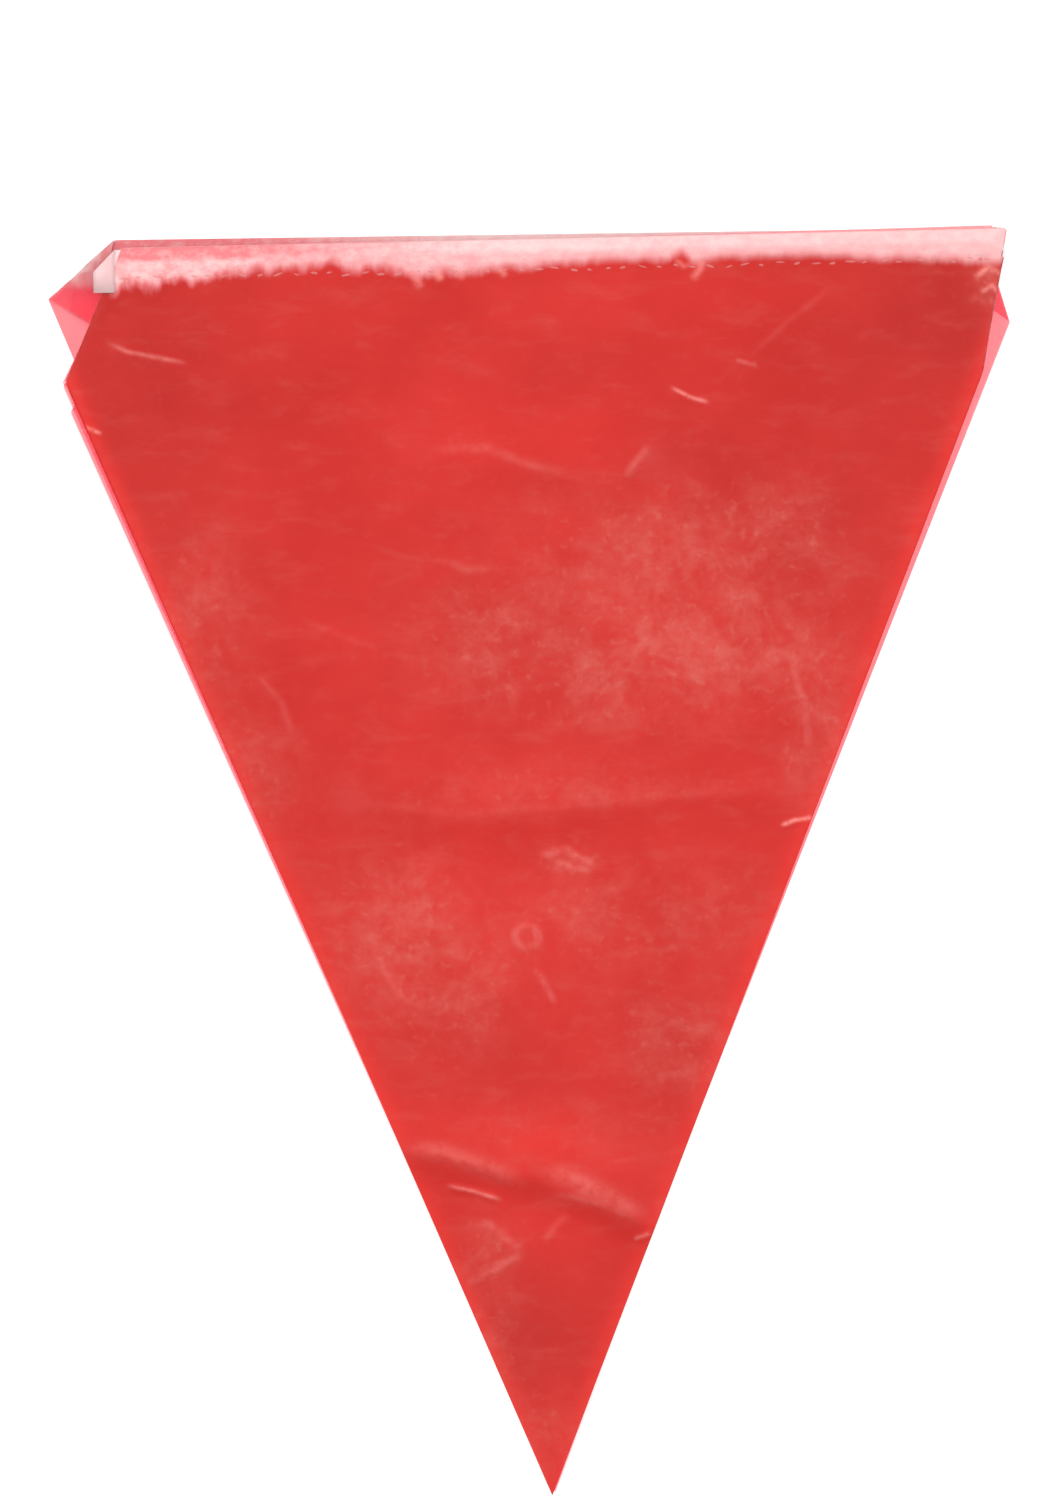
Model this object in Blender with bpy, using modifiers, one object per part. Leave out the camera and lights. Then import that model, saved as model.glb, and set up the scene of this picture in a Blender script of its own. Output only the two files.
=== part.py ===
"""Pennant banner of red plastic film: twelve pennants on one white tape, folded into a flat stack.

The banner lies face up. Pennant 1 is the bottom one and pennant 12 the top one. The tape runs along the
head of each pennant in turn and doubles back past its corner to the next one, so the layers lie one over
another, a little apart. Units are metres, +Z is up, and the tips of the pennants point to -Y.
"""

import math
from collections import namedtuple

import bmesh
import bpy
from mathutils import Matrix, Vector

MM = 0.001

# Cut sizes
BASE_WIDTH = 228.6 * MM
DROP = 279.4 * MM
TAPE_WIDTH = 5.0 * MM

# Layers: one sheet and the air over it
SHEET = 1.0 * MM
AIR = 0.3 * MM
PITCH = SHEET + AIR
BEND_RADIUS = PITCH / 2
BEND_STEPS = 6

# A pennant ends just under the tape that its head carries. The gap is wider than the air between layers,
# so that the tape's bends stay clear of the next pennant's head.
HEAD_GAP = 2 * AIR
BODY_TOP = DROP - TAPE_WIDTH - HEAD_GAP

# How each pennant lies, from the bottom up: the shift of its tip in mm, its turn in degrees, and how far
# along the head and down the side from each corner the corner is turned in, in mm.
Lay = namedtuple("Lay", "shift_x shift_y turn left_head left_side right_head right_side")
LAYS = (
    Lay(0.2, 1.5, 0.80, 21.4, 14.6, 15.0, 23.0),
    Lay(0.7, 0.0, 1.90, 33.0, 38.0, 9.0, 34.0),
    Lay(0.6, 0.3, 1.75, 28.0, 32.5, 8.0, 35.0),
    Lay(0.3, 0.1, 1.60, 27.0, 31.5, 7.5, 36.0),
    Lay(0.2, -0.2, 1.45, 26.0, 32.0, 7.0, 35.5),
    Lay(-0.1, 0.3, 1.30, 25.0, 32.5, 7.0, 36.0),
    Lay(0.2, 0.0, 1.35, 25.0, 31.5, 7.2, 35.0),
    Lay(0.0, -0.1, 1.25, 24.5, 32.0, 6.8, 36.0),
    Lay(0.2, 0.2, 1.30, 24.8, 32.4, 7.1, 35.4),
    Lay(-0.1, 0.1, 1.32, 25.1, 31.8, 7.0, 36.1),
    Lay(0.1, -0.2, 1.28, 24.6, 32.2, 7.2, 35.6),
    Lay(0.0, 0.0, 1.30, 24.7, 32.1, 6.9, 35.8),
)
COUNT = len(LAYS)

# Folds that show on the top pennant, as soft ridges: the height, how far the ridge falls away above and
# below its crest, the length over which each end dies out, and the crest's points from the tip, in mm.
Fold = namedtuple("Fold", "height above below fade crest")
FOLDS = (
    Fold(3.0, 9.0, 4.5, 0.0, ((-36.0, 78.5), (-16.0, 74.6), (1.8, 70.1), (24.0, 59.8))),
    Fold(1.6, 7.0, 5.5, 16.0, ((-52.0, 155.5), (-21.6, 151.4), (8.0, 154.2), (60.0, 158.8))),
    Fold(2.0, 8.0, 5.0, 12.0, ((-36.0, 233.5), (-8.0, 229.6), (10.7, 227.1), (28.0, 236.0))),
)

# Broad swells: height, radius and centre from the tip, in mm.
Swell = namedtuple("Swell", "height radius x y")
SWELLS = (
    Swell(0.9, 34.0, 30.0, 190.0),
    Swell(0.7, 26.0, -22.0, 112.0),
    Swell(0.6, 30.0, -58.0, 214.0),
    Swell(0.8, 22.0, 16.0, 100.0),
)

# The lower pennants lie flat. Only the uppermost ones rise with the folds, each more than the one below.
FOLDED = 4
# The folds and swells are gone below the heads.
FLAT_HEAD_FROM = 262.0 * MM
HEAD_FADE = 22.0 * MM

# Rows of the folded sheets, close together at each fold: where a band ends and its row height, in mm.
Band = namedtuple("Band", "top step")
BANDS = (
    Band(52.0, 14.0),
    Band(88.0, 4.0),
    Band(142.0, 14.0),
    Band(168.0, 4.6),
    Band(218.0, 13.0),
    Band(246.0, 4.6),
    Band(276.0, 15.0),
)
ROWS_START = -4.0
COLUMN_WIDTH = 14.5 * MM
GRID_HALF_WIDTH = BASE_WIDTH / 2 + 2 * COLUMN_WIDTH

# Where the tape doubles back, and where its first end is cut
TAPE_LEFT = -95.3 * MM
TAPE_RIGHT = 99.7 * MM
TAPE_START = -100.6 * MM
# The last end is folded down at half a right angle and cut off square
TAPE_DOG_EAR = -101.3 * MM
TAPE_TAIL = 5.7 * MM

FILM_RED = (0.69, 0.048, 0.042, 1.0)
FILM_ROUGHNESS = 0.38
TAPE_WHITE = (0.86, 0.80, 0.78, 1.0)
TAPE_ROUGHNESS = 0.85

# Points nearer than this to a cut count as on it
ON_CUT = 1e-7
SHARP_ANGLE = math.radians(35)


def clear_scene():
    """Removes whatever the open file holds."""
    for old in list(bpy.data.objects):
        bpy.data.objects.remove(old, do_unlink=True)


def make_material(name, colour, roughness):
    """A plain material of one colour."""
    material = bpy.data.materials.new(name)
    material.use_nodes = True
    shader = material.node_tree.nodes["Principled BSDF"]
    shader.inputs["Base Color"].default_value = colour
    shader.inputs["Roughness"].default_value = roughness
    shader.inputs["Metallic"].default_value = 0.0
    return material


def placed(lay):
    """The matrix that takes a pennant from its own frame, tip at the origin and head up +Y, to its place."""
    return Matrix.Translation((lay.shift_x * MM, lay.shift_y * MM, 0)) @ Matrix.Rotation(
        math.radians(lay.turn), 4, "Z"
    )


def smooth_step(value):
    """Rises from 0 to 1 with level ends as the value goes from 0 to 1."""
    value = min(max(value, 0.0), 1.0)
    return value * value * (3 - 2 * value)


def nearest_on_crest(point, crest):
    """How far the point is above the crest, and how far along the crest from either end."""
    total = 0.0
    best = None
    for start, end in zip(crest, crest[1:]):
        start = Vector(start) * MM
        along = Vector(end) * MM - start
        share = (point - start).dot(along) / along.length_squared
        share = min(max(share, 0.0), 1.0)
        offset = point - (start + along * share)
        if best is None or offset.length < best[0].length:
            best = (offset, total + share * along.length)
        total += along.length
    offset, run = best
    return math.copysign(offset.length, offset.y), min(run, total - run)


def fold_height(x, y):
    """How far the top pennant is lifted by its folds and swells at a point."""
    point = Vector((x, y))
    height = 0.0
    for fold in FOLDS:
        above, from_end = nearest_on_crest(point, fold.crest)
        reach = (fold.above if above > 0 else fold.below) * MM
        ridge = fold.height * MM * math.exp(-((above / reach) ** 2))
        if fold.fade:
            ridge *= smooth_step(from_end / (fold.fade * MM))
        height = max(height, ridge)
    for swell in SWELLS:
        away = (point - Vector((swell.x, swell.y)) * MM).length
        height += swell.height * MM * math.exp(-((away / (swell.radius * MM)) ** 2))
    return height * smooth_step((FLAT_HEAD_FROM - y) / HEAD_FADE)


def corner_line(lay, side):
    """The line along which a corner is turned in, from the pennant's side to its head. side is -1 or 1."""
    head, down = (lay.left_head, lay.left_side) if side < 0 else (lay.right_head, lay.right_side)
    corner = Vector((side * BASE_WIDTH / 2, DROP, 0))
    to_tip = -corner.normalized()
    return corner + to_tip * down * MM, corner - Vector((side * head * MM, 0, 0))


def cut_away(bm, point, outward):
    """Trims the sheet along a vertical plane and drops what lies on its outward side."""
    bmesh.ops.bisect_plane(
        bm,
        geom=bm.verts[:] + bm.edges[:] + bm.faces[:],
        dist=ON_CUT,
        plane_co=point,
        plane_no=outward,
        clear_outer=True,
    )


def across(line, towards):
    """The level direction square to a line that points to a given place."""
    start, end = line
    along = end - start
    normal = Vector((along.y, -along.x, 0)).normalized()
    return normal if normal.dot(towards - start) > 0 else -normal


def trim_to_outline(bm, lay, keep_left_corner=False):
    """Cuts a wide sheet to a pennant's two sides, its head and its turned-in corners."""
    place = placed(lay)
    tip = place @ Vector((0, 0, 0))
    for side in (-1, 1):
        corner = Vector((side * BASE_WIDTH / 2, DROP, 0))
        outside = across((tip, place @ corner), place @ Vector((side * BASE_WIDTH, DROP, 0)))
        cut_away(bm, tip, outside)
        if side < 0 and keep_left_corner:
            continue
        line = [place @ point for point in corner_line(lay, side)]
        cut_away(bm, line[0], across(line, place @ corner))
    cut_away(bm, place @ Vector((0, BODY_TOP, 0)), place.to_3x3() @ Vector((0, 1, 0)))


def fold_over(bm, faces, line, outward):
    """Folds what lies past a line up and over, round a bend, to the next layer."""
    length = math.pi * BEND_RADIUS
    folded = list(faces)
    # One cut before the bend keeps the sheet flat right up to it.
    for step in range(-1, BEND_STEPS + 1):
        edges = {edge for face in folded for edge in face.edges}
        points = {vertex for face in folded for vertex in face.verts}
        cut = bmesh.ops.bisect_plane(
            bm,
            geom=list(points) + list(edges) + folded,
            dist=ON_CUT,
            plane_co=line[0] + outward * length * step / BEND_STEPS,
            plane_no=outward,
        )
        folded = [item for item in cut["geom"] if isinstance(item, bmesh.types.BMFace)]
    for vertex in {vertex for face in folded for vertex in face.verts}:
        past = (vertex.co - line[0]).dot(outward)
        if past <= 0:
            continue
        angle = min(past / BEND_RADIUS, math.pi)
        level = BEND_RADIUS * math.sin(angle) - max(past - length, 0)
        vertex.co += outward * (level - past)
        vertex.co.z += BEND_RADIUS * (1 - math.cos(angle))


def row_heights():
    """The rows of a folded sheet, from below its tip to above its head."""
    rows = [ROWS_START]
    for band in BANDS:
        count = max(round((band.top - rows[-1]) / band.step), 1)
        start = rows[-1]
        rows += [start + (band.top - start) * (row + 1) / count for row in range(count)]
    return [row * MM for row in rows]


def wide_sheet(rows, columns):
    """A level sheet, wider than a pennant, with the given rows and number of columns."""
    bm = bmesh.new()
    bmesh.ops.create_grid(bm, x_segments=columns, y_segments=len(rows) - 1, size=1)
    for vertex in bm.verts:
        row = round((vertex.co.y + 1) / 2 * (len(rows) - 1))
        vertex.co.x *= GRID_HALF_WIDTH
        vertex.co.y = rows[row]
    return bm


def finish_object(name, bm, material, collection, parent):
    """Makes an object of a mesh under construction, in its collection and under its parent."""
    mesh = bpy.data.meshes.new(name)
    bm.to_mesh(mesh)
    bm.free()
    mesh.shade_smooth()
    mesh.set_sharp_from_angle(angle=SHARP_ANGLE)
    mesh.materials.append(material)
    piece = bpy.data.objects.new(name, mesh)
    collection.objects.link(piece)
    piece.parent = parent
    return piece


def thicken(piece):
    """Gives a middle surface the sheet's thickness, half to each side."""
    wall = piece.modifiers.new("Thickness", "SOLIDIFY")
    wall.thickness = SHEET
    wall.offset = 0
    return piece


def raise_by_sheet(bm):
    """Makes the lower face of a sheet into a solid by drawing it straight up."""
    drawn = bmesh.ops.extrude_face_region(bm, geom=bm.faces[:])
    for item in drawn["geom"]:
        if isinstance(item, bmesh.types.BMVert):
            item.co.z += SHEET
    bmesh.ops.recalc_face_normals(bm, faces=bm.faces[:])


def build_bottom_pennant(name, lay, material, collection, parent):
    """The lowest pennant: flat underneath, with its left corner folded over towards the viewer."""
    bm = wide_sheet([ROWS_START * MM, DROP + PITCH], 1)
    bmesh.ops.translate(bm, vec=(0, 0, SHEET / 2), verts=bm.verts)
    trim_to_outline(bm, lay, keep_left_corner=True)
    place = placed(lay)
    line = [place @ point for point in corner_line(lay, -1)]
    fold_over(bm, bm.faces[:], line, across(line, place @ Vector((-BASE_WIDTH / 2, DROP, 0))))
    return thicken(finish_object(name, bm, material, collection, parent))


def build_pennant(name, layer, lay, material, collection, parent):
    """A pennant in its layer: a plain flat one, or one of the uppermost, which rise with the folds."""
    share = max(layer - (COUNT - 1 - FOLDED), 0) / FOLDED
    if share:
        bm = wide_sheet(row_heights(), round(2 * GRID_HALF_WIDTH / COLUMN_WIDTH))
        bmesh.ops.triangulate(bm, faces=bm.faces[:])
    else:
        bm = wide_sheet([ROWS_START * MM, DROP + PITCH], 1)
    for vertex in bm.verts:
        vertex.co.z = layer * PITCH + share * fold_height(vertex.co.x, vertex.co.y)
    trim_to_outline(bm, lay)
    raise_by_sheet(bm)
    return finish_object(name, bm, material, collection, parent)


def tape_edges(layer, x):
    """The tape's lower and upper edge in a layer, where its middle line passes a given x."""
    lay = LAYS[layer]
    place = placed(lay)
    along = place.to_3x3() @ Vector((1, 0, 0))
    middle = place @ Vector((0, DROP - TAPE_WIDTH / 2, 0))
    centre = middle + along * (x - middle.x) / along.x
    half = place.to_3x3() @ Vector((0, TAPE_WIDTH / 2, 0))
    lift = Vector((0, 0, layer * PITCH + SHEET / 2))
    return centre - half + lift, centre + half + lift


def tape_stations():
    """The pairs of edge points along the tape, run by run, with a bend between two runs."""
    stations = [tape_edges(0, TAPE_START)]
    for layer in range(COUNT - 1):
        turn_x, outward = (TAPE_RIGHT, 1) if layer % 2 == 0 else (TAPE_LEFT, -1)
        ends = tape_edges(layer, turn_x)
        starts = tape_edges(layer + 1, turn_x)
        for step in range(BEND_STEPS + 1):
            angle = math.pi * step / BEND_STEPS
            share = (1 - math.cos(angle)) / 2
            bulge = Vector((outward * BEND_RADIUS * math.sin(angle), 0, 0))
            stations.append([end.lerp(start, share) + bulge for end, start in zip(ends, starts)])
    stations.append(tape_edges(COUNT - 1, TAPE_DOG_EAR - TAPE_TAIL))
    return stations


def build_tape(name, material, collection, parent):
    """The tape: one ribbon, back and forth through every layer, with its last end folded down."""
    stations = tape_stations()
    bm = bmesh.new()
    bmesh.ops.create_grid(bm, x_segments=len(stations) - 1, y_segments=1, size=1)
    for vertex in bm.verts:
        station = round((vertex.co.x + 1) / 2 * (len(stations) - 1))
        edge = 1 if vertex.co.y > 0 else 0
        vertex.co = stations[station][edge]
    fold_tape_end(bm)
    return thicken(finish_object(name, bm, material, collection, parent))


def fold_tape_end(bm):
    """Folds the tape's last end over, so that it points straight down its pennant."""
    lower, upper = tape_edges(COUNT - 1, TAPE_DOG_EAR)
    along = (upper - lower).normalized()
    level = Vector((along.y, -along.x, 0))
    line = (lower, lower + (along + level) * TAPE_WIDTH)
    outward = across(line, lower - level * TAPE_WIDTH)
    top_layer = (COUNT - 1) * PITCH
    last_run = [face for face in bm.faces if min(vertex.co.z for vertex in face.verts) > top_layer]
    fold_over(bm, last_run, line, outward)


def centre_on_base(parent, pieces):
    """Moves the whole stack so that the middle of the base of its bounding box is the origin."""
    bpy.context.view_layer.update()
    graph = bpy.context.evaluated_depsgraph_get()
    corners = [
        piece.evaluated_get(graph).matrix_world @ Vector(corner)
        for piece in pieces
        for corner in piece.evaluated_get(graph).bound_box
    ]
    for axis in (0, 1):
        values = [corner[axis] for corner in corners]
        parent.location[axis] = -(min(values) + max(values)) / 2
    parent.location.z = -min(corner.z for corner in corners)


def main():
    """Lays the twelve pennants and the tape in their layers."""
    clear_scene()
    collection = bpy.data.collections.new("pennant_banner")
    bpy.context.scene.collection.children.link(collection)
    film = make_material("red_film", FILM_RED, FILM_ROUGHNESS)
    tape_cloth = make_material("white_tape", TAPE_WHITE, TAPE_ROUGHNESS)
    stack = bpy.data.objects.new("stack", None)
    collection.objects.link(stack)
    pieces = [build_bottom_pennant("pennant_01", LAYS[0], film, collection, stack)]
    for layer in range(1, COUNT):
        name = f"pennant_{layer + 1:02d}"
        pieces.append(build_pennant(name, layer, LAYS[layer], film, collection, stack))
    pieces.append(build_tape("heading_tape", tape_cloth, collection, stack))
    centre_on_base(stack, pieces)


main()
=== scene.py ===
"""Looks of the pennant banner: twelve pennants of thin red film, folded flat on one white tape.

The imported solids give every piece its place. Each pennant's solid is replaced by the real film, cut from
its flat pattern, with its hem wrapped round the tape, its corners turned in and its folds raised. Points
named as from the tip are measured on the flat stack, with the tip of the top pennant as zero and the head
up +Y. Sizes are in metres unless a table says mm, and +Z is up.
"""

from __future__ import annotations

import logging
import math
from collections.abc import Iterable, Sequence
from dataclasses import dataclass, field
from enum import Enum

import bmesh
import bpy
import numpy as np
from mathutils import Matrix, Vector, noise

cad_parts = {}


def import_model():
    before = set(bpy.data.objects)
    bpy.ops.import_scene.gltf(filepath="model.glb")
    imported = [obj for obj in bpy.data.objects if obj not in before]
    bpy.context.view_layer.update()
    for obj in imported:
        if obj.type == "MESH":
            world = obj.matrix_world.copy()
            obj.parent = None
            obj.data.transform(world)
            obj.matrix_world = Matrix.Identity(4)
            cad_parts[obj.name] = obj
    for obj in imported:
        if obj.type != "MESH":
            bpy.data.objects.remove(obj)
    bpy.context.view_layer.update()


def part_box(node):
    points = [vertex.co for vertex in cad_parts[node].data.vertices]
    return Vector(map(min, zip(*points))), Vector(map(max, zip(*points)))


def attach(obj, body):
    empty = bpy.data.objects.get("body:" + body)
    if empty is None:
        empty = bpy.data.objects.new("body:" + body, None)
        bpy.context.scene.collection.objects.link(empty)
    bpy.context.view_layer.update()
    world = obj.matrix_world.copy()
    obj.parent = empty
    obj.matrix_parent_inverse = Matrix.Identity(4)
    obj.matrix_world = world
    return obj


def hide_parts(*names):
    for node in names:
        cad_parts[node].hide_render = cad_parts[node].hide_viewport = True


MM = 0.001
BODY = "root"

Colour = tuple[float, float, float, float]
Limits = tuple[tuple[float, float, float], tuple[float, float, float]]
Node = bpy.types.Node
Socket = bpy.types.NodeSocket

log = logging.getLogger("pennant_banner")


class Side(Enum):
    """The two corners of a pennant's head."""

    LEFT = -1
    RIGHT = 1


class Turn(Enum):
    """Which way a corner is folded: under the pennant or over it."""

    UNDER = 1
    OVER = -1


@dataclass(frozen=True)
class Lay:
    """How one pennant lies: its tip's shift in mm, its turn in degrees, and its turned-in corners.

    Each corner is turned in along a line from a point so many mm along the head to a point so many mm
    down the side, both measured from the corner.
    """

    shift_x: float
    shift_y: float
    turn: float
    left_head: float
    left_side: float
    right_head: float
    right_side: float

    def matrix(self) -> Matrix:
        """Takes the pennant from its own frame, tip at zero and head up +Y, to its place in the stack."""
        shift = Matrix.Translation((self.shift_x * MM, self.shift_y * MM, 0))
        return shift @ Matrix.Rotation(math.radians(self.turn), 4, "Z")

    def way(self, x: float, y: float) -> Vector:
        """A level direction of the pennant's own frame, as it lies in the stack."""
        return self.matrix().to_3x3() @ Vector((x, y, 0))


LAYS = (
    Lay(0.2, 1.5, 0.80, 21.4, 14.6, 15.0, 23.0),
    Lay(0.7, 0.0, 1.90, 33.0, 38.0, 9.0, 34.0),
    Lay(0.6, 0.3, 1.75, 28.0, 32.5, 8.0, 35.0),
    Lay(0.3, 0.1, 1.60, 27.0, 31.5, 7.5, 36.0),
    Lay(0.2, -0.2, 1.45, 26.0, 32.0, 7.0, 35.5),
    Lay(-0.1, 0.3, 1.30, 25.0, 32.5, 7.0, 36.0),
    Lay(0.2, 0.0, 1.35, 25.0, 31.5, 7.2, 35.0),
    Lay(0.0, -0.1, 1.25, 24.5, 32.0, 6.8, 36.0),
    Lay(0.2, 0.2, 1.30, 24.8, 32.4, 7.1, 35.4),
    Lay(-0.1, 0.1, 1.32, 25.1, 31.8, 7.0, 36.1),
    Lay(0.1, -0.2, 1.28, 24.6, 32.2, 7.2, 35.6),
    Lay(0.0, 0.0, 1.30, 24.7, 32.1, 6.9, 35.8),
)
COUNT = len(LAYS)
TOP = COUNT - 1
FIRST_CORE_LAYER = 4
CUT_MERGE = 1e-7
MESH_STEP = 4.0 * MM
TOP_MESH_STEP = 1.5 * MM


@dataclass(frozen=True)
class CutSizes:
    """What a pennant and its tape measure, and how far apart the layers lie."""

    base_width: float = 228.6 * MM
    drop: float = 279.4 * MM
    hem: float = 7.0 * MM
    film: float = 0.10 * MM
    tape_width: float = 5.0 * MM
    tape_thickness: float = 0.26 * MM
    sheet: float = 1.0 * MM
    pitch: float = 1.3 * MM

    def middle(self, layer: int) -> float:
        """The height of the middle of a layer over the surface that the stack lies on."""
        return layer * self.pitch + self.sheet / 2

    def corner(self, side: Side) -> Vector:
        """A head corner in a pennant's own frame."""
        return Vector((side.value * self.base_width / 2, self.drop, 0))

    def corner_line(self, lay: Lay, side: Side) -> tuple[Vector, Vector]:
        """The line along which a corner is turned in.

        Args:
            lay: How the pennant lies.
            side: Which corner.

        Returns:
            The line's point on the pennant's side and its point on the head, in the pennant's own frame.
        """
        left = side is Side.LEFT
        head = lay.left_head if left else lay.right_head
        down = lay.left_side if left else lay.right_side
        corner = self.corner(side)
        to_tip = -corner.normalized()
        return corner + to_tip * down * MM, corner - Vector((side.value * head * MM, 0, 0))


SIZES = CutSizes()


def smooth_step(value: np.ndarray | float) -> np.ndarray | float:
    """Rises from 0 to 1 with level ends as the value goes from 0 to 1."""
    value = np.clip(value, 0.0, 1.0)
    return value * value * (3 - 2 * value)


def level_places(points: Iterable[Vector]) -> np.ndarray:
    """The X and Y of some points, a row each."""
    return np.array([(point.x, point.y) for point in points])


def distance_from(points: np.ndarray, x: float, y: float) -> np.ndarray:
    """How far each point is from a place given in mm, in metres."""
    return np.linalg.norm(points - np.array((x, y)) * MM, axis=1)


def nearest_on_line(
    points: np.ndarray, line: Sequence[tuple[float, float]]
) -> tuple[np.ndarray, np.ndarray]:
    """Where points lie beside a bent line.

    Args:
        points: The points, in metres, a row each.
        line: The line's own points, in mm.

    Returns:
        How far each point is from the line, positive on its head side, and how far along the line the
        nearest place is from the closer end.
    """
    best = np.full(len(points), np.inf)
    above = np.zeros(len(points))
    run = np.zeros(len(points))
    total = 0.0
    for start, end in zip(line, line[1:]):
        origin = np.array(start) * MM
        along = np.array(end) * MM - origin
        length = float(np.linalg.norm(along))
        share = np.clip((points - origin) @ along / length**2, 0.0, 1.0)
        offset = points - (origin + share[:, None] * along)
        distance = np.linalg.norm(offset, axis=1)
        nearer = distance < best
        best = np.where(nearer, distance, best)
        above = np.where(nearer, offset[:, 1], above)
        run = np.where(nearer, total + share * length, run)
        total += length
    return np.copysign(best, above), np.minimum(run, total - run)


def ridge(
    points: np.ndarray, line: Sequence[tuple[float, float]], above: float, below: float, fade: float
) -> np.ndarray:
    """The rounded profile of a ridge along a bent line, all in mm but for the points.

    Args:
        points: The points, in metres, a row each.
        line: The ridge's crest.
        above: How far it falls away on its head side.
        below: How far it falls away on its other side.
        fade: How far from each end it dies out, or 0 if it runs on.

    Returns:
        The profile at each point, from 0 to 1 on the crest.
    """
    beside, from_end = nearest_on_line(points, line)
    reach = np.where(beside > 0, above, below) * MM
    profile = np.exp(-((beside / reach) ** 2))
    return profile * smooth_step(from_end / (fade * MM)) if fade else profile


@dataclass(frozen=True)
class Fold:
    """A soft ridge through the upper pennants, in mm from the tip.

    The ridge falls away over one distance above its crest and another below it, and each end dies out
    over the fade.
    """

    height: float
    above: float
    below: float
    fade: float
    crest: tuple[tuple[float, float], ...]

    def lift(self, points: np.ndarray) -> np.ndarray:
        """The ridge's height at each point, in metres."""
        return self.height * MM * ridge(points, self.crest, self.above, self.below, self.fade)


@dataclass(frozen=True)
class Swell:
    """A broad low rise in the upper pennants: its height, radius and middle, in mm from the tip."""

    height: float
    radius: float
    x: float
    y: float

    def lift(self, points: np.ndarray) -> np.ndarray:
        """The rise's height at each point, in metres."""
        away = distance_from(points, self.x, self.y)
        return self.height * MM * np.exp(-((away / (self.radius * MM)) ** 2))


FOLDS = (
    Fold(2.5, 9.0, 5.0, 0.0, ((-36.0, 78.5), (-16.0, 74.6), (1.8, 70.1), (24.0, 59.8))),
    Fold(1.2, 7.5, 6.0, 16.0, ((-52.0, 155.5), (-21.6, 151.4), (8.0, 154.2), (60.0, 158.8))),
    Fold(1.4, 9.0, 6.0, 14.0, ((-36.0, 233.5), (-8.0, 229.6), (10.7, 227.1), (28.0, 236.0))),
)
SWELLS = (
    Swell(0.9, 34.0, 30.0, 190.0),
    Swell(0.7, 26.0, -22.0, 112.0),
    Swell(0.6, 30.0, -58.0, 214.0),
    Swell(0.8, 22.0, 16.0, 100.0),
)


@dataclass(frozen=True)
class Crease:
    """A fine crease in the top pennant, in mm from the tip.

    A positive rise is a ridge and a negative one a trough. It is a steep edge on its head side and falls
    away over the tail on the other, and each end dies out over the fade. The film is milky along it, by
    the given share and over the given width to each side, and this whitening is partly a painted highlight
    along the crest.
    """

    rise: float
    edge: float
    tail: float
    fade: float
    milky: float
    width: float
    line: tuple[tuple[float, float], ...]

    def lift(self, points: np.ndarray) -> np.ndarray:
        """The crease's height at each point, in metres."""
        return self.rise * MM * ridge(points, self.line, self.edge, self.tail, self.fade)

    def whiten_and_highlight(self, points: np.ndarray) -> np.ndarray:
        """How milky the crease makes the film at each point, from 0 to 1, partly a painted highlight."""
        return self.milky * ridge(points, self.line, self.width, self.width, self.fade)


# Fine creases of the top pennant: rise, edge, tail, fade, milky share, width and line. The milky share is
# partly a painted highlight along each crest.
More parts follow.
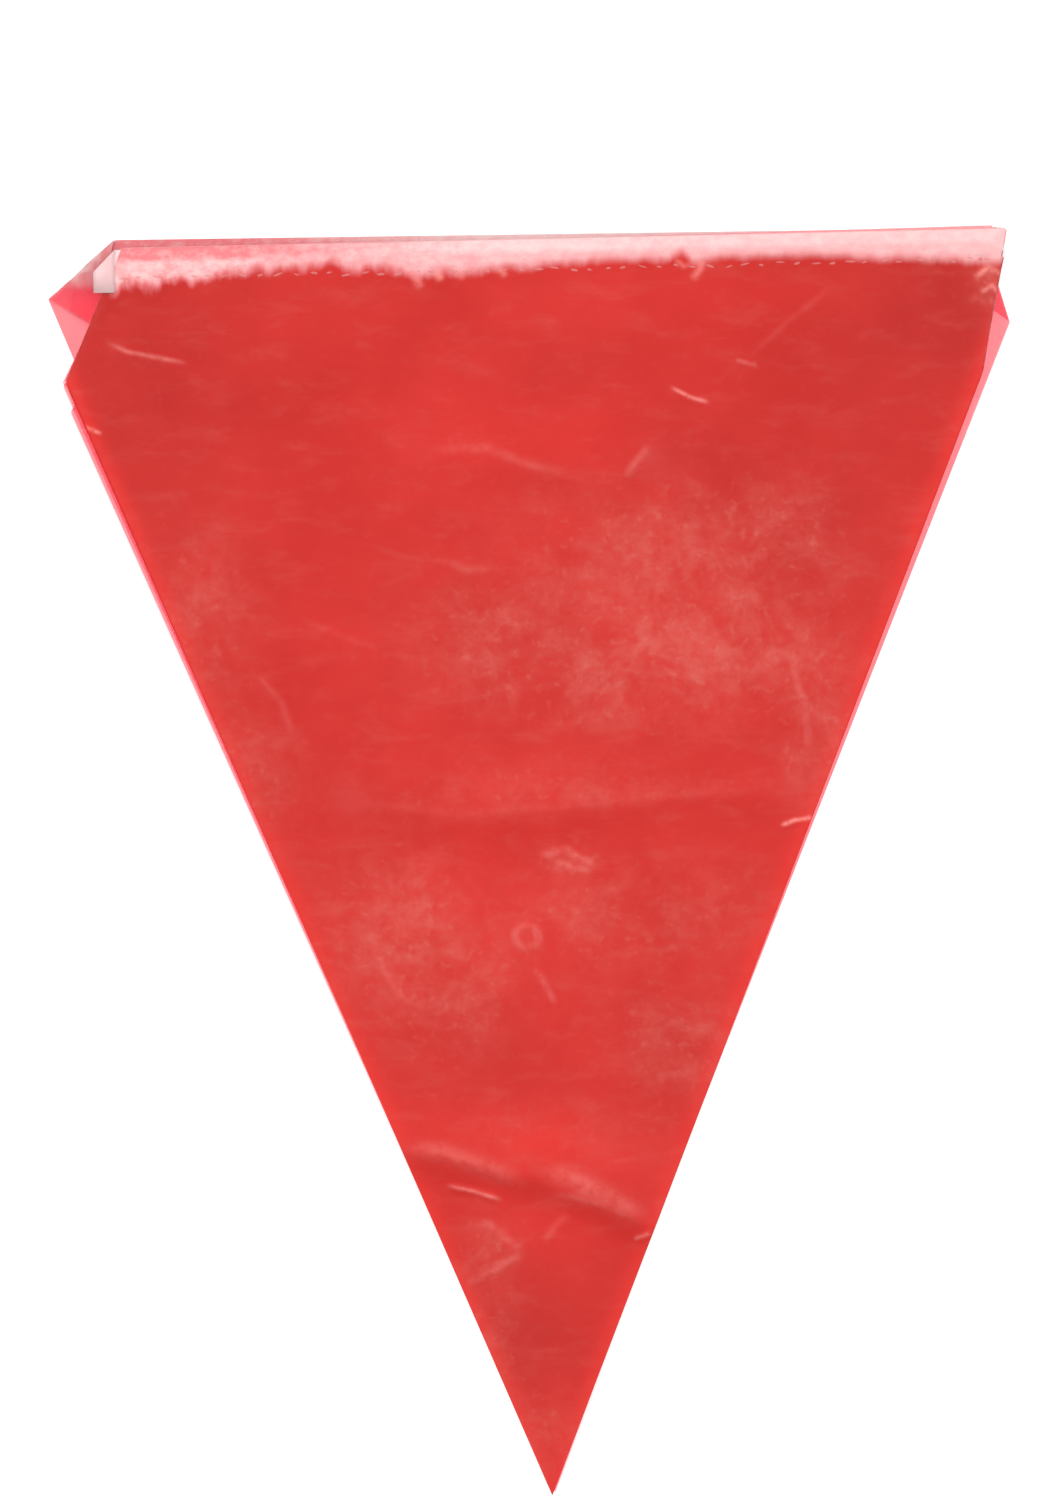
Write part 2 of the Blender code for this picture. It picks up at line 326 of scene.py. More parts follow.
CREASES = (
    Crease(0.30, 2.8, 1.2, 10.0, 0.15, 1.9, ((-35.0, 77.4), (-24.3, 76.4), (-14.5, 72.8), (-4.0, 68.8))),
    Crease(0.30, 2.8, 1.2, 10.0, 0.18, 2.3, ((-4.0, 72.6), (4.8, 70.2), (13.6, 65.6), (22.6, 60.6))),
    Crease(0.15, 1.6, 0.7, 8.0, 0.12, 0.8, ((-2.0, 67.6), (4.0, 66.6), (11.0, 64.6), (22.0, 60.0))),
    Crease(0.15, 1.6, 0.7, 8.0, 0.08, 0.8, ((-34.0, 76.2), (-24.3, 74.8), (-14.5, 71.4), (-5.0, 67.6))),
    Crease(0.10, 1.4, 1.4, 18.0, 0.04, 1.2, ((-46.1, 154.7), (-21.6, 151.4), (10.7, 154.0), (52.0, 158.0))),
    Crease(0.20, 1.8, 1.4, 11.0, 0.10, 1.1, ((-29.0, 232.6), (-14.0, 233.0), (-5.6, 229.3), (4.7, 226.4))),
    Crease(0.20, 1.2, 1.2, 3.0, 0.13, 0.8, ((15.8, 226.0), (18.4, 229.6), (21.8, 234.4))),
    Crease(0.30, 0.9, 2.4, 5.0, 0.26, 0.5, ((-99.6, 256.8), (-94.7, 254.5), (-88.7, 253.3), (-80.3, 251.7))),
    Crease(0.35, 0.8, 1.8, 3.0, 0.52, 0.4, ((25.8, 247.0), (30.7, 244.4), (35.6, 243.0))),
    Crease(0.20, 0.8, 0.8, 1.5, 0.20, 0.5, ((40.6, 252.8), (45.8, 251.2))),
    Crease(0.20, 1.2, 3.0, 8.0, 0.05, 0.7, ((64.1, 270.5), (53.0, 261.5), (41.8, 251.5))),
    Crease(0.50, 0.7, 1.2, 3.5, 0.34, 0.4, ((-24.0, 69.0), (-17.1, 67.5), (-10.6, 65.4))),
    Crease(0.34, 1.0, 2.6, 3.0, 0.10, 0.8, ((-16.2, 62.0), (-11.0, 57.6), (-6.6, 53.8))),
    Crease(0.34, 1.8, 1.0, 3.0, 0.10, 0.8, ((-6.6, 53.8), (-12.4, 50.2), (-19.2, 46.4))),
    Crease(0.20, 1.0, 2.2, 3.0, 0.08, 0.7, ((4.4, 62.8), (0.8, 59.6), (-2.6, 55.4))),
    Crease(0.20, 0.8, 1.2, 3.0, 0.14, 0.8, ((-3.6, 141.8), (2.9, 143.6), (10.0, 139.9))),
    Crease(0.16, 1.0, 1.0, 2.0, 0.14, 0.7, ((0.4, 141.0), (4.6, 139.6), (9.2, 139.0))),
    Crease(0.24, 0.9, 1.4, 2.5, 0.11, 0.6, ((-4.2, 117.8), (-1.6, 113.6), (1.0, 108.4))),
    Crease(0.20, 1.4, 2.4, 6.0, 0.07, 0.9, ((-27.0, 209.0), (-19.0, 206.0), (-11.0, 206.4))),
    Crease(0.20, 1.4, 3.2, 9.0, 0.04, 0.8, ((-58.0, 196.0), (-47.0, 191.0), (-36.0, 187.6))),
    Crease(0.20, 0.8, 0.8, 1.6, 0.60, 0.4, ((50.6, 148.8), (54.0, 150.2), (58.6, 150.8))),
    Crease(0.20, 0.8, 0.8, 1.2, 0.40, 0.4, ((18.0, 56.8), (22.4, 58.6))),
    Crease(0.25, 0.8, 0.8, 1.2, 0.45, 0.4, ((-105.0, 238.2), (-100.0, 236.0))),
    Crease(0.45, 0.9, 0.9, 2.0, 0.60, 0.6, ((93.6, 270.6), (97.2, 273.2), (101.2, 271.0))),
    Crease(0.40, 0.8, 1.2, 1.5, 0.50, 0.5, ((95.0, 267.4), (98.0, 269.2), (100.8, 266.0))),
    Crease(-0.40, 0.8, 0.8, 2.0, 0.00, 0.6, ((94.0, 276.6), (98.4, 271.8), (98.8, 264.0))),
    Crease(0.16, 0.9, 1.6, 4.0, 0.08, 0.6, ((-66.0, 183.0), (-60.0, 176.0), (-57.6, 168.0))),
    Crease(0.16, 0.9, 1.6, 4.0, 0.08, 0.6, ((-40.0, 122.0), (-36.0, 114.0), (-30.6, 108.0))),
    Crease(0.16, 0.9, 1.6, 4.0, 0.08, 0.6, ((52.0, 188.0), (56.0, 176.0), (57.0, 164.0))),
    Crease(0.20, 0.8, 0.8, 1.4, 0.32, 0.8, ((33.6, 275.0), (32.8, 272.6), (31.0, 270.0))),
    Crease(0.20, 0.7, 0.7, 1.2, 0.30, 0.6, ((27.2, 275.2), (29.4, 273.4), (31.8, 274.6))),
    Crease(0.20, 0.8, 0.8, 1.4, 0.38, 0.9, ((-31.6, 273.4), (-30.2, 270.8), (-29.0, 268.2))),
    Crease(0.20, 0.8, 0.8, 1.4, 0.48, 0.9, ((-26.4, 274.4), (-25.4, 272.0), (-24.4, 269.8))),
    Crease(0.15, 0.8, 0.8, 1.2, 0.30, 0.8, ((-21.4, 273.4), (-19.4, 270.2))),
    Crease(0.15, 0.8, 0.8, 1.2, 0.30, 0.8, ((-12.8, 273.6), (-9.8, 271.0))),
)
RING_X = -5.6
RING_Y = 124.2
RING_RADIUS = 2.5
RING_RIM = 0.8
RING_RISE = 0.25
RING_MILKY = 0.10


def from_ring(points: np.ndarray) -> np.ndarray:
    """How far each point is from the rim of the small round mark, in metres and positive outside it."""
    return distance_from(points, RING_X, RING_Y) - RING_RADIUS * MM


def ring_rim(points: np.ndarray) -> np.ndarray:
    """How close each point is to the rim of the small round mark, from 0 to 1 on the rim."""
    return np.exp(-((from_ring(points) / (RING_RIM * MM)) ** 2))


@dataclass(frozen=True)
class Relief:
    """How far the layers are lifted, from the tables of folds, swells and creases."""

    folded: int = 4
    flat_head_from: float = 262.0 * MM
    head_fade: float = 22.0 * MM
    loose_below: float = 242.0 * MM
    head_ripple: float = 0.12 * MM
    loose_ripple: float = 0.20 * MM
    bottom_ripple: float = 0.01 * MM
    coarse: float = 31.0 * MM
    fine: float = 11.0 * MM
    fine_share: float = 0.4
    layer_step: float = 7.3

    def share(self, layer: int) -> float:
        """How much of the folds a layer takes: none low in the stack, all of them at the top."""
        return max(layer - (TOP - self.folded), 0) / self.folded

    def folds(self, points: np.ndarray) -> np.ndarray:
        """The height of the folds and swells at each point, in metres."""
        ridges = np.max([fold.lift(points) for fold in FOLDS], axis=0)
        height = ridges + np.sum([swell.lift(points) for swell in SWELLS], axis=0)
        return height * smooth_step((self.flat_head_from - points[:, 1]) / self.head_fade)

    def creases(self, points: np.ndarray) -> np.ndarray:
        """The height of the top pennant's fine creases at each point, in metres."""
        height = np.sum([crease.lift(points) for crease in CREASES], axis=0)
        return height + RING_RISE * MM * ring_rim(points)

    def ripple(self, points: np.ndarray, layer: int) -> np.ndarray:
        """The small unevenness of one layer of film, different in each, in metres."""
        coarse, fine = 1 / self.coarse, 1 / self.fine
        place = self.layer_step * layer
        heights = [
            noise.noise(Vector((x * coarse, y * coarse, place)))
            + self.fine_share * noise.noise(Vector((x * fine, y * fine, place)))
            for x, y in points
        ]
        loose = smooth_step((self.loose_below - points[:, 1]) / self.head_fade)
        deep = self.bottom_ripple if layer == 0 else self.head_ripple + self.loose_ripple * loose
        return deep * np.array(heights)

    def lift(self, points: np.ndarray, layer: int) -> np.ndarray:
        """How far a layer is above its flat place at each point, in metres.

        Args:
            points: The points, in metres from the tip, a row each.
            layer: The layer, 0 for the bottom one.

        Returns:
            The lift at each point.
        """
        height = self.ripple(points, layer)
        share = self.share(layer)
        if share:
            height = height + share * self.folds(points)
        if layer == TOP:
            height = height + self.creases(points)
        return height


@dataclass(frozen=True)
class Patch:
    """A soft-edged patch of the top pennant: its middle and radii in mm from the tip, and its strength."""

    x: float
    y: float
    radius_x: float
    radius_y: float
    strength: float

    def cover(self, points: np.ndarray) -> np.ndarray:
        """How much of the patch is at each point, between nothing and its strength."""
        across = (points[:, 0] / MM - self.x) / self.radius_x
        up = (points[:, 1] / MM - self.y) / self.radius_y
        return self.strength * np.exp(-(across**2 + up**2))


# Milky patches on the top pennant, partly the film's own haze and partly painted sheen. A strength of 1 is
# full cover.
CLOUDS_AND_SHEEN = (
    Patch(24.0, 211.0, 28.0, 13.0, 0.46),
    Patch(52.0, 214.0, 14.0, 12.0, 0.28),
    Patch(28.0, 193.0, 28.0, 14.0, 0.44),
    Patch(14.0, 181.0, 22.0, 10.0, 0.50),
    Patch(48.0, 188.0, 14.0, 12.0, 0.42),
    Patch(60.0, 168.0, 9.0, 13.0, 0.50),
    Patch(-14.0, 190.0, 17.0, 12.0, 0.48),
    Patch(-35.0, 128.0, 15.0, 16.0, 0.50),
    Patch(-24.0, 112.0, 15.0, 14.0, 0.45),
    Patch(4.0, 142.0, 6.0, 3.0, 0.65),
    Patch(10.0, 128.0, 16.0, 10.0, 0.46),
    Patch(28.0, 101.0, 13.0, 10.0, 0.60),
    Patch(-78.0, 196.0, 12.0, 18.0, 0.40),
    Patch(-70.0, 160.0, 12.0, 12.0, 0.40),
    Patch(-14.0, 34.0, 9.0, 14.0, 0.30),
    Patch(34.0, 130.0, 12.0, 10.0, 0.35),
    Patch(0.0, 157.0, 34.0, 5.0, 0.35),
    Patch(-14.0, 54.0, 6.0, 6.0, 0.70),
    Patch(98.0, 270.0, 4.0, 6.0, 0.80),
    Patch(2.0, 81.0, 26.0, 7.0, 0.22),
    Patch(0.0, 12.0, 9.0, 12.0, 0.35),
)
# Painted light and shade mixed with uneven tone on the top pennant: lighter bands over the head sides of the
# folds, darker patches under them, and other lighter and darker patches. A positive strength is lighter.
PAINTED_LIGHT_AND_TONES = (
    Patch(-96.0, 248.0, 32.0, 42.0, -0.75),
    Patch(88.0, 262.0, 32.0, 28.0, -1.00),
    Patch(60.0, 219.0, 16.0, 20.0, -0.55),
    Patch(-9.0, 236.0, 34.0, 11.0, 0.25),
    Patch(4.0, 252.0, 12.0, 8.0, -0.35),
    Patch(32.0, 233.0, 13.0, 12.0, -0.55),
    Patch(-2.0, 157.0, 42.0, 9.0, 0.25),
    Patch(-14.0, 128.0, 30.0, 20.0, 0.40),
    Patch(-22.0, 96.0, 12.0, 12.0, -0.20),
    Patch(28.0, 100.0, 12.0, 14.0, -0.30),
    Patch(-4.0, 77.0, 28.0, 9.0, 1.00),
    Patch(0.0, 59.0, 22.0, 6.0, 0.35),
    Patch(-6.0, 42.0, 16.0, 11.0, -0.35),
    Patch(-3.0, 31.0, 14.0, 11.0, -0.45),
    Patch(0.0, 13.0, 10.0, 10.0, 0.40),
    Patch(44.0, 267.0, 28.0, 8.0, 0.40),
)


@dataclass(frozen=True)
class HemLook:
    """How the pale band along the head looks at one place across it.

    The depth of the band and how far its lower edge wanders are in mm. Its upper and its lower part are
    each between pink, 0, and pale, 1.
    """

    x: float
    depth: float
    ragged: float
    upper: float
    lower: float


# The band is pinker at its left end and paler from the middle to the right.
HEM_LOOKS = (
    HemLook(-100.0, 8.6, 2.2, 0.12, 0.70),
    HemLook(-84.0, 8.4, 2.0, 0.10, 0.68),
    HemLook(-70.0, 7.3, 1.6, 0.14, 0.64),
    HemLook(-60.0, 4.6, 1.2, 0.24, 0.58),
    HemLook(-44.0, 5.2, 1.3, 0.52, 0.56),
    HemLook(-27.0, 7.2, 1.1, 0.78, 0.56),
    HemLook(-12.0, 6.7, 0.7, 0.95, 0.60),
    HemLook(3.0, 5.7, 0.6, 0.92, 0.60),
    HemLook(15.0, 4.7, 0.6, 0.86, 0.58),
    HemLook(26.0, 5.6, 0.6, 0.84, 0.55),
    HemLook(28.8, 3.4, 0.4, 0.80, 0.45),
    HemLook(31.5, 6.2, 0.5, 0.84, 0.55),
    HemLook(36.0, 5.0, 0.5, 0.84, 0.56),
    HemLook(58.0, 4.8, 0.4, 0.84, 0.58),
    HemLook(70.0, 6.0, 0.4, 0.82, 0.56),
    HemLook(80.0, 6.5, 0.5, 0.82, 0.58),
    HemLook(91.0, 7.1, 0.7, 0.85, 0.65),
)


class Wiring:
    """Adds and joins the nodes of one tree."""

    def __init__(self, tree: bpy.types.NodeTree) -> None:
        """Works on the given tree."""
        self.tree = tree

    def add(self, kind: str, feeds: dict[str | int, object] | None = None, **settings: object) -> Node:
        """Adds a node.

        Args:
            kind: The node's type.
            feeds: What its inputs are fed with, by their names or numbers.
            **settings: Its own properties.

        Returns:
            The node.
        """
        node = self.tree.nodes.new(kind)
        for key, value in settings.items():
            setattr(node, key, value)
        for key, value in (feeds or {}).items():
            self.plug(node.inputs[key], value)
        return node

    def plug(self, target: Socket, value: object) -> None:
        """Feeds an input from another node's socket or with a plain value."""
        if isinstance(value, Socket):
            self.tree.links.new(value, target)
        else:
            target.default_value = value


class NodeBench(Wiring):
    """The nodes of one material."""

    FIRST_COLOUR = 6
    SECOND_COLOUR = 7
    MIXED_COLOUR = 2

    def __init__(self, name: str) -> None:
        """Makes a new material with a lone Principled node."""
        self.material = bpy.data.materials.new(name)
        self.material.use_nodes = True
        super().__init__(self.material.node_tree)
        self.shader = self.tree.nodes["Principled BSDF"]

    def finish(self, name: str, value: object) -> None:
        """Feeds one of the Principled node's inputs."""
        self.plug(self.shader.inputs[name], value)

    def attribute(self, name: str, vector: bool = False) -> Socket:
        """One of the piece's own attributes."""
        node = self.add("ShaderNodeAttribute", attribute_name=name)
        return node.outputs["Vector" if vector else "Fac"]

    def axes(self, vector: Socket) -> tuple[Socket, Socket]:
        """The first two parts of a vector."""
        node = self.add("ShaderNodeSeparateXYZ", {0: vector})
        return node.outputs[0], node.outputs[1]

    def math(self, operation: str, *values: object, clamp: bool = False) -> Socket:
        """A sum, product or other plain operation."""
        feeds = dict(enumerate(values))
        return self.add("ShaderNodeMath", feeds, operation=operation, use_clamp=clamp).outputs[0]

    def times(self, first: object, second: object) -> Socket:
        """The product of two values."""
        return self.math("MULTIPLY", first, second)

    def remap(
        self, value: object, low: float, high: float, to_low: float = 0.0, to_high: float = 1.0
    ) -> Socket:
        """Takes a value from one range smoothly to another, held at both ends.

        Args:
            value: The value or the socket that gives it.
            low: The value that gives to_low.
            high: The value that gives to_high.
            to_low: The first end of the new range.
            to_high: The other end of it.

        Returns:
            The socket with the new value.
        """
        feeds = {"Value": value, "From Min": low, "From Max": high, "To Min": to_low, "To Max": to_high}
        return self.add("ShaderNodeMapRange", feeds, interpolation_type="SMOOTHSTEP").outputs[0]

    def noise(
        self, place: Socket, size: float, detail: float = 2.0, rough: float = 0.5, curl: float = 0.0
    ) -> Socket:
        """Cloudy noise from 0 to 1.

        Args:
            place: The coordinates, in metres.
            size: The width of the largest spots, in metres.
            detail: How many finer steps are added.
            rough: How strong the finer steps are.
            curl: How far the spots are curled.

        Returns:
            The socket with the noise.
        """
        feeds = {"Vector": place, "Scale": 1 / size, "Detail": detail, "Roughness": rough}
        return self.add("ShaderNodeTexNoise", {**feeds, "Distortion": curl}).outputs[0]

    def mapped(self, place: Socket, stretch: float, turn: float = 0.0) -> Socket:
        """Coordinates scaled up the pennant and turned by some degrees."""
        feeds = {"Scale": (1.0, stretch, 1.0), "Rotation": (0.0, 0.0, math.radians(turn))}
        return self.add("ShaderNodeMapping", {"Vector": place, **feeds}).outputs[0]

    def blend(self, share: object, first: object, second: object) -> Socket:
        """Goes from a first colour to a second one as the share goes from 0 to 1."""
        feeds = {"Factor": share, self.FIRST_COLOUR: first, self.SECOND_COLOUR: second}
        return self.add("ShaderNodeMix", feeds, data_type="RGBA").outputs[self.MIXED_COLOUR]

    def bump(self, height: Socket, deep: float) -> None:
        """Gives the surface a fine relief of the given depth in metres."""
        self.finish("Normal", self.add("ShaderNodeBump", {"Height": height, "Distance": deep}).outputs[0])


@dataclass(frozen=True)
class FilmFinish:
    """Thin translucent red plastic film.

    Each film is closed, so a look through it passes two of its faces. Film that shows on its own is given
    a paler red than film in a deep stack: painted light and shade, for the light that passes through thin
    film and is lost in a deep stack.
    """

    name: str
    red: Colour = (0.93, 0.072, 0.115, 1.0)
    deep_red: Colour = (0.88, 0.062, 0.100, 1.0)
    hem_pink: Colour = (0.82, 0.27, 0.29, 1.0)
    face_opacity: float = 0.36
    roughness: float = 0.40
    ior: float = 1.5
    tone_size: float = 62 * MM
    hem_show: float = 4.2 * MM
    hem_soft: float = 0.4 * MM

    def start(self) -> tuple[NodeBench, Socket, Socket]:
        """Starts the material.

        Returns:
            The bench, the coordinates on the flat pattern, and how far each place is below the head.
        """
        bench = NodeBench(self.name)
        place = bench.attribute("pattern", vector=True)
        bench.finish("Roughness", self.roughness)
        bench.finish("Alpha", self.face_opacity)
        bench.finish("IOR", self.ior)
        below = bench.math("ABSOLUTE", bench.math("SUBTRACT", SIZES.drop, bench.axes(place)[1]))
        return bench, place, below

    def make(self) -> bpy.types.Material:
        """Builds the material: an uneven red, and the milky hem at the head."""
        bench, place, below = self.start()
        tone = bench.noise(place, self.tone_size, 0.0)
        colour = bench.blend(bench.remap(tone, 0.35, 0.68), self.red, self.deep_red)
        hem = bench.remap(below, self.hem_show + self.hem_soft, self.hem_show - self.hem_soft)
        bench.finish("Base Color", bench.blend(hem, colour, self.hem_pink))
        return bench.material


@dataclass(frozen=True)
class ShowFilmFinish(FilmFinish):
    """The film of a pennant that shows: milky in patches and along its creases, pale along the hem, and
    finely crinkled.
    """

    # A darker red than the edge films: painted shade for the light lost in the stack under the top film.
    red: Colour = (0.575, 0.0215, 0.0165, 1.0)
    deep_red: Colour = (0.395, 0.0125, 0.0095, 1.0)
    hem_pink: Colour = (0.67, 0.17, 0.185, 1.0)
    # Colour of the milky patches, scuffs and flecks; the patches are partly painted sheen.
    milky: Colour = (0.55, 0.125, 0.100, 1.0)
    # Colour of the whitened creases, partly a painted highlight along their crests.
    stressed_and_highlight: Colour = (0.92, 0.36, 0.32, 1.0)
    hem_pale: Colour = (0.71, 0.51, 0.505, 1.0)
    face_opacity: float = 0.76
    hem_opacity: float = 0.80
    grain_size: float = 34 * MM
    fine_size: float = 3.4 * MM
    patch_size: float = 12 * MM
    fleck_size: float = 2.3 * MM
    drip_size: float = 5.6 * MM
    crinkle_size: float = 2.6 * MM
    crinkle: float = 0.035 * MM

    def make(self) -> bpy.types.Material:
        """Builds the material."""
        bench, place, below = self.start()
        grain = bench.noise(place, self.grain_size, 3.0, 0.6)
        uneven = bench.remap(grain, 0.25, 0.75, -0.16, 0.16)
        # The tone attribute holds painted light and shade (lighter bands over the folds, darker patches, a
        # lighter rim along the sides) together with uneven tone; the grain adds random unevenness.
        tone = bench.math("ADD", bench.attribute("tone"), uneven, clamp=True)
        colour = bench.blend(tone, self.deep_red, self.red)
        fine = bench.noise(place, self.fine_size, 3.0, 0.65, 0.2)
        colour = self.add_clouds_and_sheen(bench, place, fine, colour)
        # Whitening along the creases and the ring's rim, partly a painted highlight along the crests.
        stress_and_highlight = bench.times(bench.attribute("stress_and_highlight"), bench.remap(fine, 0.30, 0.64, 0.45, 1.1))
        colour = bench.blend(stress_and_highlight, colour, self.stressed_and_highlight)
        band, colour = self.add_hem(bench, place, below, colour)
        bench.finish("Base Color", colour)
        bench.finish("Alpha", bench.remap(band, 0.0, 1.0, self.face_opacity, self.hem_opacity))
        bench.finish("Roughness", bench.remap(grain, 0.3, 0.7, self.roughness - 0.07, self.roughness + 0.09))
        bench.bump(bench.noise(place, self.crinkle_size, 2.0, 0.6), self.crinkle)
        return bench.material

    def add_clouds_and_sheen(self, bench: NodeBench, place: Socket, fine: Socket, colour: Socket) -> Socket:
        """Lays the milky patches, which are partly painted sheen, the faint scuffs and the fine flecks over
        the colour.

        Args:
            bench: The material's bench.
            place: The coordinates on the flat pattern.
            fine: Fine noise that speckles the patches.
            colour: The colour so far.

        Returns:
            The new colour.
        """
        turned = bench.mapped(place, 1.0, 35.0)
        wide = bench.remap(bench.noise(turned, self.patch_size, 3.0, 0.65, 0.5), 0.30, 0.68, 0.15, 1.0)
        speckle = bench.times(wide, bench.remap(fine, 0.25, 0.75, 0.30, 1.0))
        cover = bench.times(bench.attribute("cloud"), speckle)
        streaks = bench.noise(bench.mapped(place, 2.6, 24.0), self.patch_size, 3.0, 0.62, 0.4)
        scuffs = bench.remap(streaks, 0.46, 0.84, 0.0, 0.17)
        cloud_strength = bench.remap(bench.attribute("cloud"), 0.0, 0.4, 0.2, 1.0)
        flecks = bench.remap(bench.noise(place, self.fleck_size, 2.0, 0.5, 0.3), 0.56, 0.74, 0.0, 0.22)
        marks = bench.math("ADD", scuffs, bench.times(cloud_strength, flecks))
        return bench.blend(bench.math("ADD", cover, marks, clamp=True), colour, self.milky)

    def add_hem(
        self, bench: NodeBench, place: Socket, below: Socket, colour: Socket
    ) -> tuple[Socket, Socket]:
        """Lays the pale band of the hem over the colour, with its mottled lower edge.

        Args:
            bench: The material's bench.
            place: The coordinates on the flat pattern.
            below: How far each place is below the head.
            colour: The colour so far.

        Returns:
            How much of the band is at each place, and the new colour.
        """
        drips = bench.noise(bench.mapped(place, 0.36), self.drip_size, 3.0, 0.55)
        wander = bench.remap(drips, 0.25, 0.75, -1.0, 1.0)
        edge = bench.times(wander, bench.attribute("hem_ragged"))
        inside = bench.math("SUBTRACT", bench.math("ADD", bench.attribute("hem_depth"), edge), below)
        band = bench.remap(inside, -1.3 * MM, 1.5 * MM)
        lower = bench.remap(below, 1.6 * MM, 3.6 * MM)
        upper_part = bench.times(bench.math("SUBTRACT", 1.0, lower), bench.attribute("hem_upper"))
        lower_part = bench.times(lower, bench.attribute("hem_lower"))
        mottle = bench.noise(bench.mapped(place, 1.5), self.fine_size, 4.0, 0.7)
        strength = bench.remap(bench.attribute("hem_ragged"), 0.4 * MM, 2.0 * MM, 0.45, 1.0)
        spots = bench.times(strength, bench.remap(mottle, 0.3, 0.7, -0.34, 0.24))
        pale = bench.math("ADD", bench.math("ADD", upper_part, lower_part), spots, clamp=True)
        thin_edge = bench.times(strength, bench.remap(inside, 0.2 * MM, 2.4 * MM, 0.85, 0.0))
        pale = bench.times(pale, bench.math("SUBTRACT", 1.0, thin_edge))
        return band, bench.blend(band, colour, bench.blend(pale, self.hem_pink, self.hem_pale))


@dataclass(frozen=True)
class JoinFinish:
    """The film of the hem's joining marks, milky where it was pressed."""

    name: str = "film_join"
    pink: Colour = (0.82, 0.26, 0.25, 1.0)
    pale: Colour = (0.90, 0.40, 0.38, 1.0)
    spot_size: float = 2.5 * MM
    roughness: float = 0.42
    opacity: float = 0.32

    def make(self) -> bpy.types.Material:
        """Builds the material."""
        bench = NodeBench(self.name)
        place = bench.add("ShaderNodeTexCoord").outputs["Object"]
        tone = bench.noise(place, self.spot_size, 2.0)
        bench.finish("Base Color", bench.blend(tone, self.pink, self.pale))
        bench.finish("Roughness", self.roughness)
        bench.finish("Alpha", self.opacity)
        return bench.material


@dataclass(frozen=True)
class TapeFinish:
    """Plain-woven white tape, with painted shade between its threads, and pink towards its last end."""

    name: str = "woven_tape"
    thread: float = 0.42 * MM
    white: Colour = (0.80, 0.76, 0.75, 1.0)
    pink: Colour = (0.78, 0.46, 0.46, 1.0)
    shade: Colour = (0.62, 0.50, 0.50, 1.0)
    pink_end: float = 9.0 * MM
    pink_end_fade: float = 3.0 * MM
    patchiness_size: float = 6.0 * MM
    weave_depth: float = 0.06 * MM
    roughness: float = 0.85
    sheen: float = 0.15

    def make(self) -> bpy.types.Material:
        """Builds the material."""
        bench = NodeBench(self.name)
        place = bench.attribute("along", vector=True)
        along, across = bench.axes(place)
        turns = math.tau / self.thread
        warp = bench.math("SINE", bench.times(across, turns))
        weft = bench.math("SINE", bench.times(along, turns))
        weave = bench.remap(bench.times(warp, weft), -1.0, 1.0)
        patchiness = bench.noise(place, self.patchiness_size, 3.0)
        # Painted shade between the threads, made uneven by a noise.
        thread_shade = bench.times(bench.remap(weave, 0.5, 0.0), bench.remap(patchiness, 0.2, 0.8, 0.5, 1.0))
        # Pink towards the last end of the tape.
        near_end = bench.remap(along, -self.pink_end - self.pink_end_fade, -self.pink_end)
        pink_share = bench.times(bench.remap(patchiness, 0.25, 0.6, 0.6, 1.0), near_end)
        plain = bench.blend(pink_share, self.white, self.pink)
        bench.finish("Base Color", bench.blend(thread_shade, plain, self.shade))
        bench.finish("Roughness", self.roughness)
        bench.finish("Sheen Weight", self.sheen)
        bench.bump(weave, self.weave_depth)
        return bench.material


@dataclass(frozen=True)
class FloorFinish:
    """A plain pale floor."""

    name: str = "pale_floor"
    white: Colour = (0.93, 0.93, 0.93, 1.0)
    roughness: float = 0.9
    gloss: float = 0.1

    def make(self) -> bpy.types.Material:
        """Builds the material."""
        bench = NodeBench(self.name)
        bench.finish("Base Color", self.white)
        bench.finish("Roughness", self.roughness)
        bench.finish("Specular IOR Level", self.gloss)
        return bench.material


def mesh_object(name: str, mesh: bpy.types.Mesh) -> bpy.types.Object:
    """Makes an object of a mesh and links it to the scene."""
    piece = bpy.data.objects.new(name, mesh)
    bpy.context.scene.collection.objects.link(piece)
    return piece


def object_of(bm: bmesh.types.BMesh, name: str, material: bpy.types.Material) -> bpy.types.Object:
    """Makes an object of a finished sheet, in one material."""
    mesh = bpy.data.meshes.new(name)
    bm.to_mesh(mesh)
    bm.free()
    mesh.materials.append(material)
    return mesh_object(name, mesh)


def read_values(data: bpy.types.bpy_prop_collection, name: str, width: int) -> np.ndarray:
    """Reads one value of all of a mesh's points, a row of the given width each."""
    values = np.zeros(len(data) * width, np.float32)
    data.foreach_get(name, values)
    return values.reshape(-1, width)


def thicken(piece: bpy.types.Object, thickness: float) -> None:
    """Gives an open sheet its thickness, half to each side, and closes it."""
    wall = piece.modifiers.new("Thickness", "SOLIDIFY")
    wall.thickness = thickness
    wall.offset = 0
    graph = bpy.context.evaluated_depsgraph_get()
    solid = bpy.data.meshes.new_from_object(piece.evaluated_get(graph))
    piece.modifiers.remove(wall)
    piece.data = solid


def bisect(
    bm: bmesh.types.BMesh, point: Vector, outward: Vector, drop_outside: bool, faces: list | None = None
) -> list:
    """Cuts a sheet along a plane.

    Args:
        bm: The mesh under construction.
        point: A point on the plane.
        outward: The plane's direction.
        drop_outside: True if what lies on the outward side is dropped.
        faces: The faces to cut, or all of them if None.

    Returns:
        What is left of the faces that were cut.
    """
    if faces is None:
        chosen = bm.verts[:] + bm.edges[:] + bm.faces[:]
    else:
        points = {vertex for face in faces for vertex in face.verts}
        edges = {edge for face in faces for edge in face.edges}
        chosen = list(points) + list(edges) + list(faces)
    cut = bmesh.ops.bisect_plane(
        bm, geom=chosen, dist=CUT_MERGE, plane_co=point, plane_no=outward, clear_outer=drop_outside
    )
    return [item for item in cut["geom"] if isinstance(item, bmesh.types.BMFace)]


